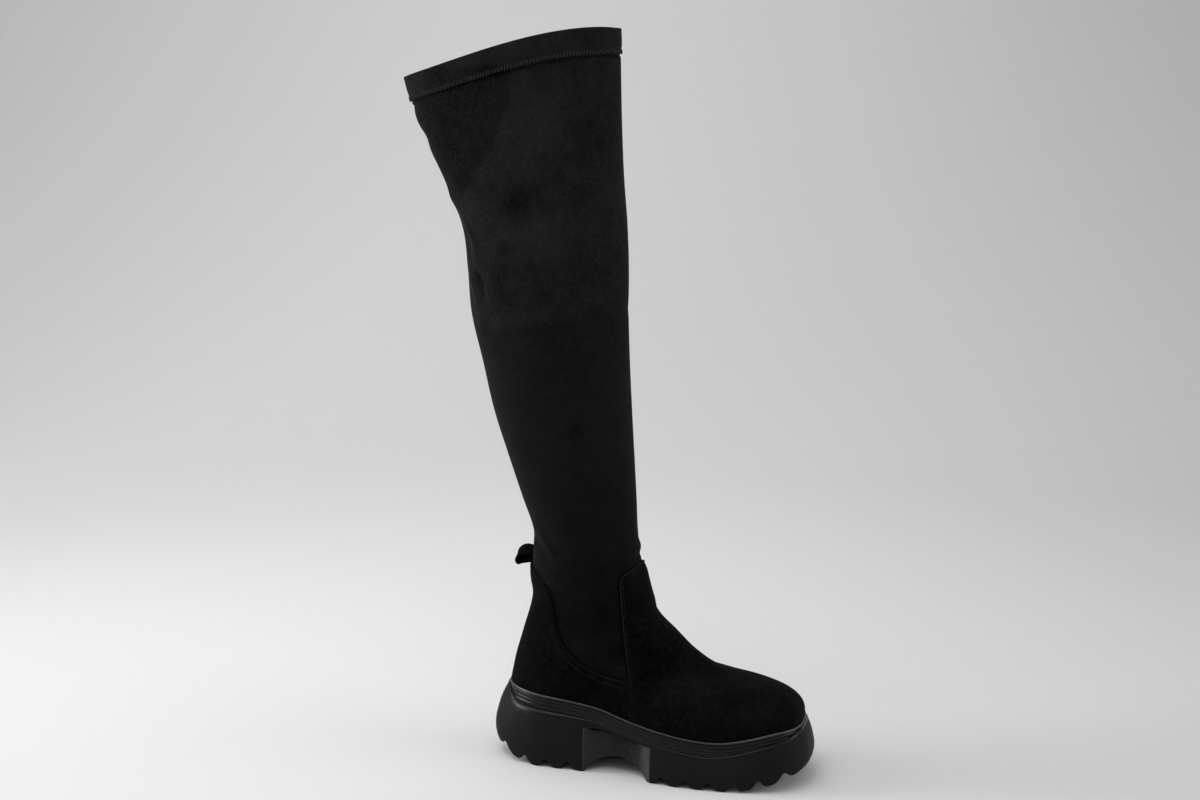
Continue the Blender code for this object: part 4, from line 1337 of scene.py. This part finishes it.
def make_band():
    """The ribbed band round the sole's core: half-round ribs under a bead, with painted shade and light on
    ribs and grooves, and a painted highlight on the bead at heel and toe.
    """
    turns = round_turns(BAND_COLUMNS)
    reach, dip = (read(RIM, name, along_foot(turns)) for name in ("reach", "dip"))
    profile = [(offset, height, 0.0) for offset, height in BAND_INNER_LIP]
    for height in np.linspace(BAND_TOP, BAND_FOOT, BAND_ROWS):
        swell = 0.0
        for middle, half, out in BAND_RIBS:
            swell = max(swell, out * np.sqrt(max(0.0, 1 - ((height - middle) / half) ** 2)))
        # Each row's painted shading: darker in the grooves, lighter on the ribs.
        profile.append((BAND_GROOVE_OFFSET + swell, height, GROOVE_PAINTED_SHADE + RIB_PAINTED_LIGHT * swell))
    offsets, heights, tones = np.array(profile).T
    points = np.stack([outline(turns, offset + reach) for offset in offsets])
    points[..., 2] += BAND_LIP + heights[:, None] - dip
    faces = grid_faces(len(profile), BAND_COLUMNS, wrap=True, closed=True)
    bead = heights >= BEAD_FOOT
    bead[:len(BAND_INNER_LIP)] = False
    x = points[..., 0]
    # Painted highlight on the bead towards heel and toe.
    lighter = BEAD_END_PAINTED_HIGHLIGHT * (ramp(x, *BEAD_HEEL_FADE) + ramp(x, *BEAD_TOE_FADE))
    make_piece("ribbed_band", points, faces, (BAND_RUBBER, BEAD_RUBBER), "welt_band",
               tones[:, None] + bead[:, None] * lighter, bead[faces // BAND_COLUMNS].all(axis=1), BAND_SHARP)


# Pull loop

def make_pull_loop():
    """A soft suede strip bent round, with rounded edges and a slight sag across."""
    path = smooth_path(LOOP_PATH, LOOP_STEPS)
    run = unit(np.gradient(path, axis=0))
    out = np.stack([-run[:, 1], run[:, 0]], axis=-1)
    ring = np.stack([np.cos(round_turns(LOOP_SIDES)), np.sin(round_turns(LOOP_SIDES))])
    ring = np.sign(ring) * np.abs(ring) ** LOOP_SQUARENESS
    across = ring[0] * LOOP_WIDTH / 2
    loops = []
    for place, direction, share in zip(path, out, np.sin(np.linspace(0, np.pi, LOOP_STEPS))):
        tilt = LOOP_TILT * (1 - LOOP_FOLD_EASE * share)
        shift = ring[1] * LOOP_THICKNESS / 2 - LOOP_SAG * share * ring[0] ** 2
        x = place[0] + direction[0] * shift
        z = place[1] + direction[1] * shift + across * np.sin(tilt)
        loops.append(np.column_stack([x, across * np.cos(tilt), z]))
    last = (LOOP_STEPS - 1) * LOOP_SIDES
    faces = np.concatenate([
        grid_faces(LOOP_STEPS, LOOP_SIDES, wrap=True), cap(LOOP_SIDES), cap(LOOP_SIDES) + last])
    make_piece("suede_loop", loops, faces, (FOOT_SUEDE,), "pull_loop")


# Stage

def make_floor():
    """A pale floor that bends up into a backdrop, darker to the right and paler to the back by painted shade
    and light.
    """
    profile = [(SHEET_FRONT, 0.0)]
    for angle in np.linspace(0, np.pi / 2, SHEET_STEPS):
        profile.append((SHEET_BEND + SHEET_RADIUS * np.sin(angle), SHEET_RADIUS * (1 - np.cos(angle))))
    profile.append((SHEET_BEND + SHEET_RADIUS, SHEET_TOP))
    mesh = bpy.data.meshes.new("floor")
    points = [(x, y, z) for y, z in profile for x in (-SHEET_HALF, SHEET_HALF)]
    mesh.from_pydata(points, [], grid_faces(len(profile), 2).tolist())
    mesh.shade_smooth()
    material, tree, shader = new_material("floor", **MATTE)
    place = node(tree, "SeparateXYZ", {"Vector": object_place(tree)}).outputs
    # Painted shade and light: the sheet darkens to the right and pales to the back, as the light falls off.
    amount = weighted(
        tree, SHEET_TONE - SHEET_GRAIN / 2, (place["X"], SHEET_PAINTED_SHADE_RIGHT), (place["Y"], SHEET_PAINTED_LIGHT_BACK),
        (noise(tree, *SHEET_NOISE), SHEET_GRAIN))
    colour_between(tree, shader, amount, SHEET_DARK, SHEET_LIGHT, most=1.0)
    mesh.materials.append(material)
    add_object("floor", mesh)


def make_lights():
    """The soft lights, and a studio whose brightness changes with direction."""
    for name, place, target, size, watts, spread in LIGHTS:
        light = bpy.data.lights.new(name, "AREA")
        light.shape = "RECTANGLE"
        light.size, light.size_y = size
        light.energy = watts
        light.spread = np.radians(spread)
        lamp = add_object(name, light)
        lamp.location = place
        lamp.rotation_euler = (Vector(target) - Vector(place)).to_track_quat("-Z", "Y").to_euler()
    world = bpy.data.worlds.new("studio")
    world.use_nodes = True
    tree = world.node_tree
    facing = node(tree, "SeparateXYZ", {"Vector": node(tree, "TexCoord").outputs["Generated"]}).outputs
    terms = []
    for axis, sign, weight in (("Z", 1.0, WORLD_RISE), ("Y", -1.0, -WORLD_FRONT_FALL)):
        part = node(tree, "Math", {0: facing[axis], 1: sign}, operation="MULTIPLY", use_clamp=True)
        terms.append((part.outputs[0], weight))
    tree.links.new(weighted(tree, WORLD_LEVEL, *terms), tree.nodes["Background"].inputs["Color"])
    bpy.context.scene.world = world


def make_camera():
    """The camera, at the photograph's angle."""
    lens = bpy.data.cameras.new("camera")
    lens.lens = CAMERA_LENS
    lens.sensor_width = SENSOR_WIDTH
    camera = add_object("camera", lens)
    camera.location = CAMERA_PLACE
    camera.rotation_euler = (CAMERA_TILT, 0.0, CAMERA_TURN)
    bpy.context.scene.camera = camera
    bpy.context.scene.view_settings.view_transform = "Standard"


make_camera()
make_lights()
make_floor()
make_leg()
make_foot()
make_hem_seam()
make_band()
make_outsole()
make_pull_loop()
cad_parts["insole"].data.materials[0] = INSOLE_CLOTH
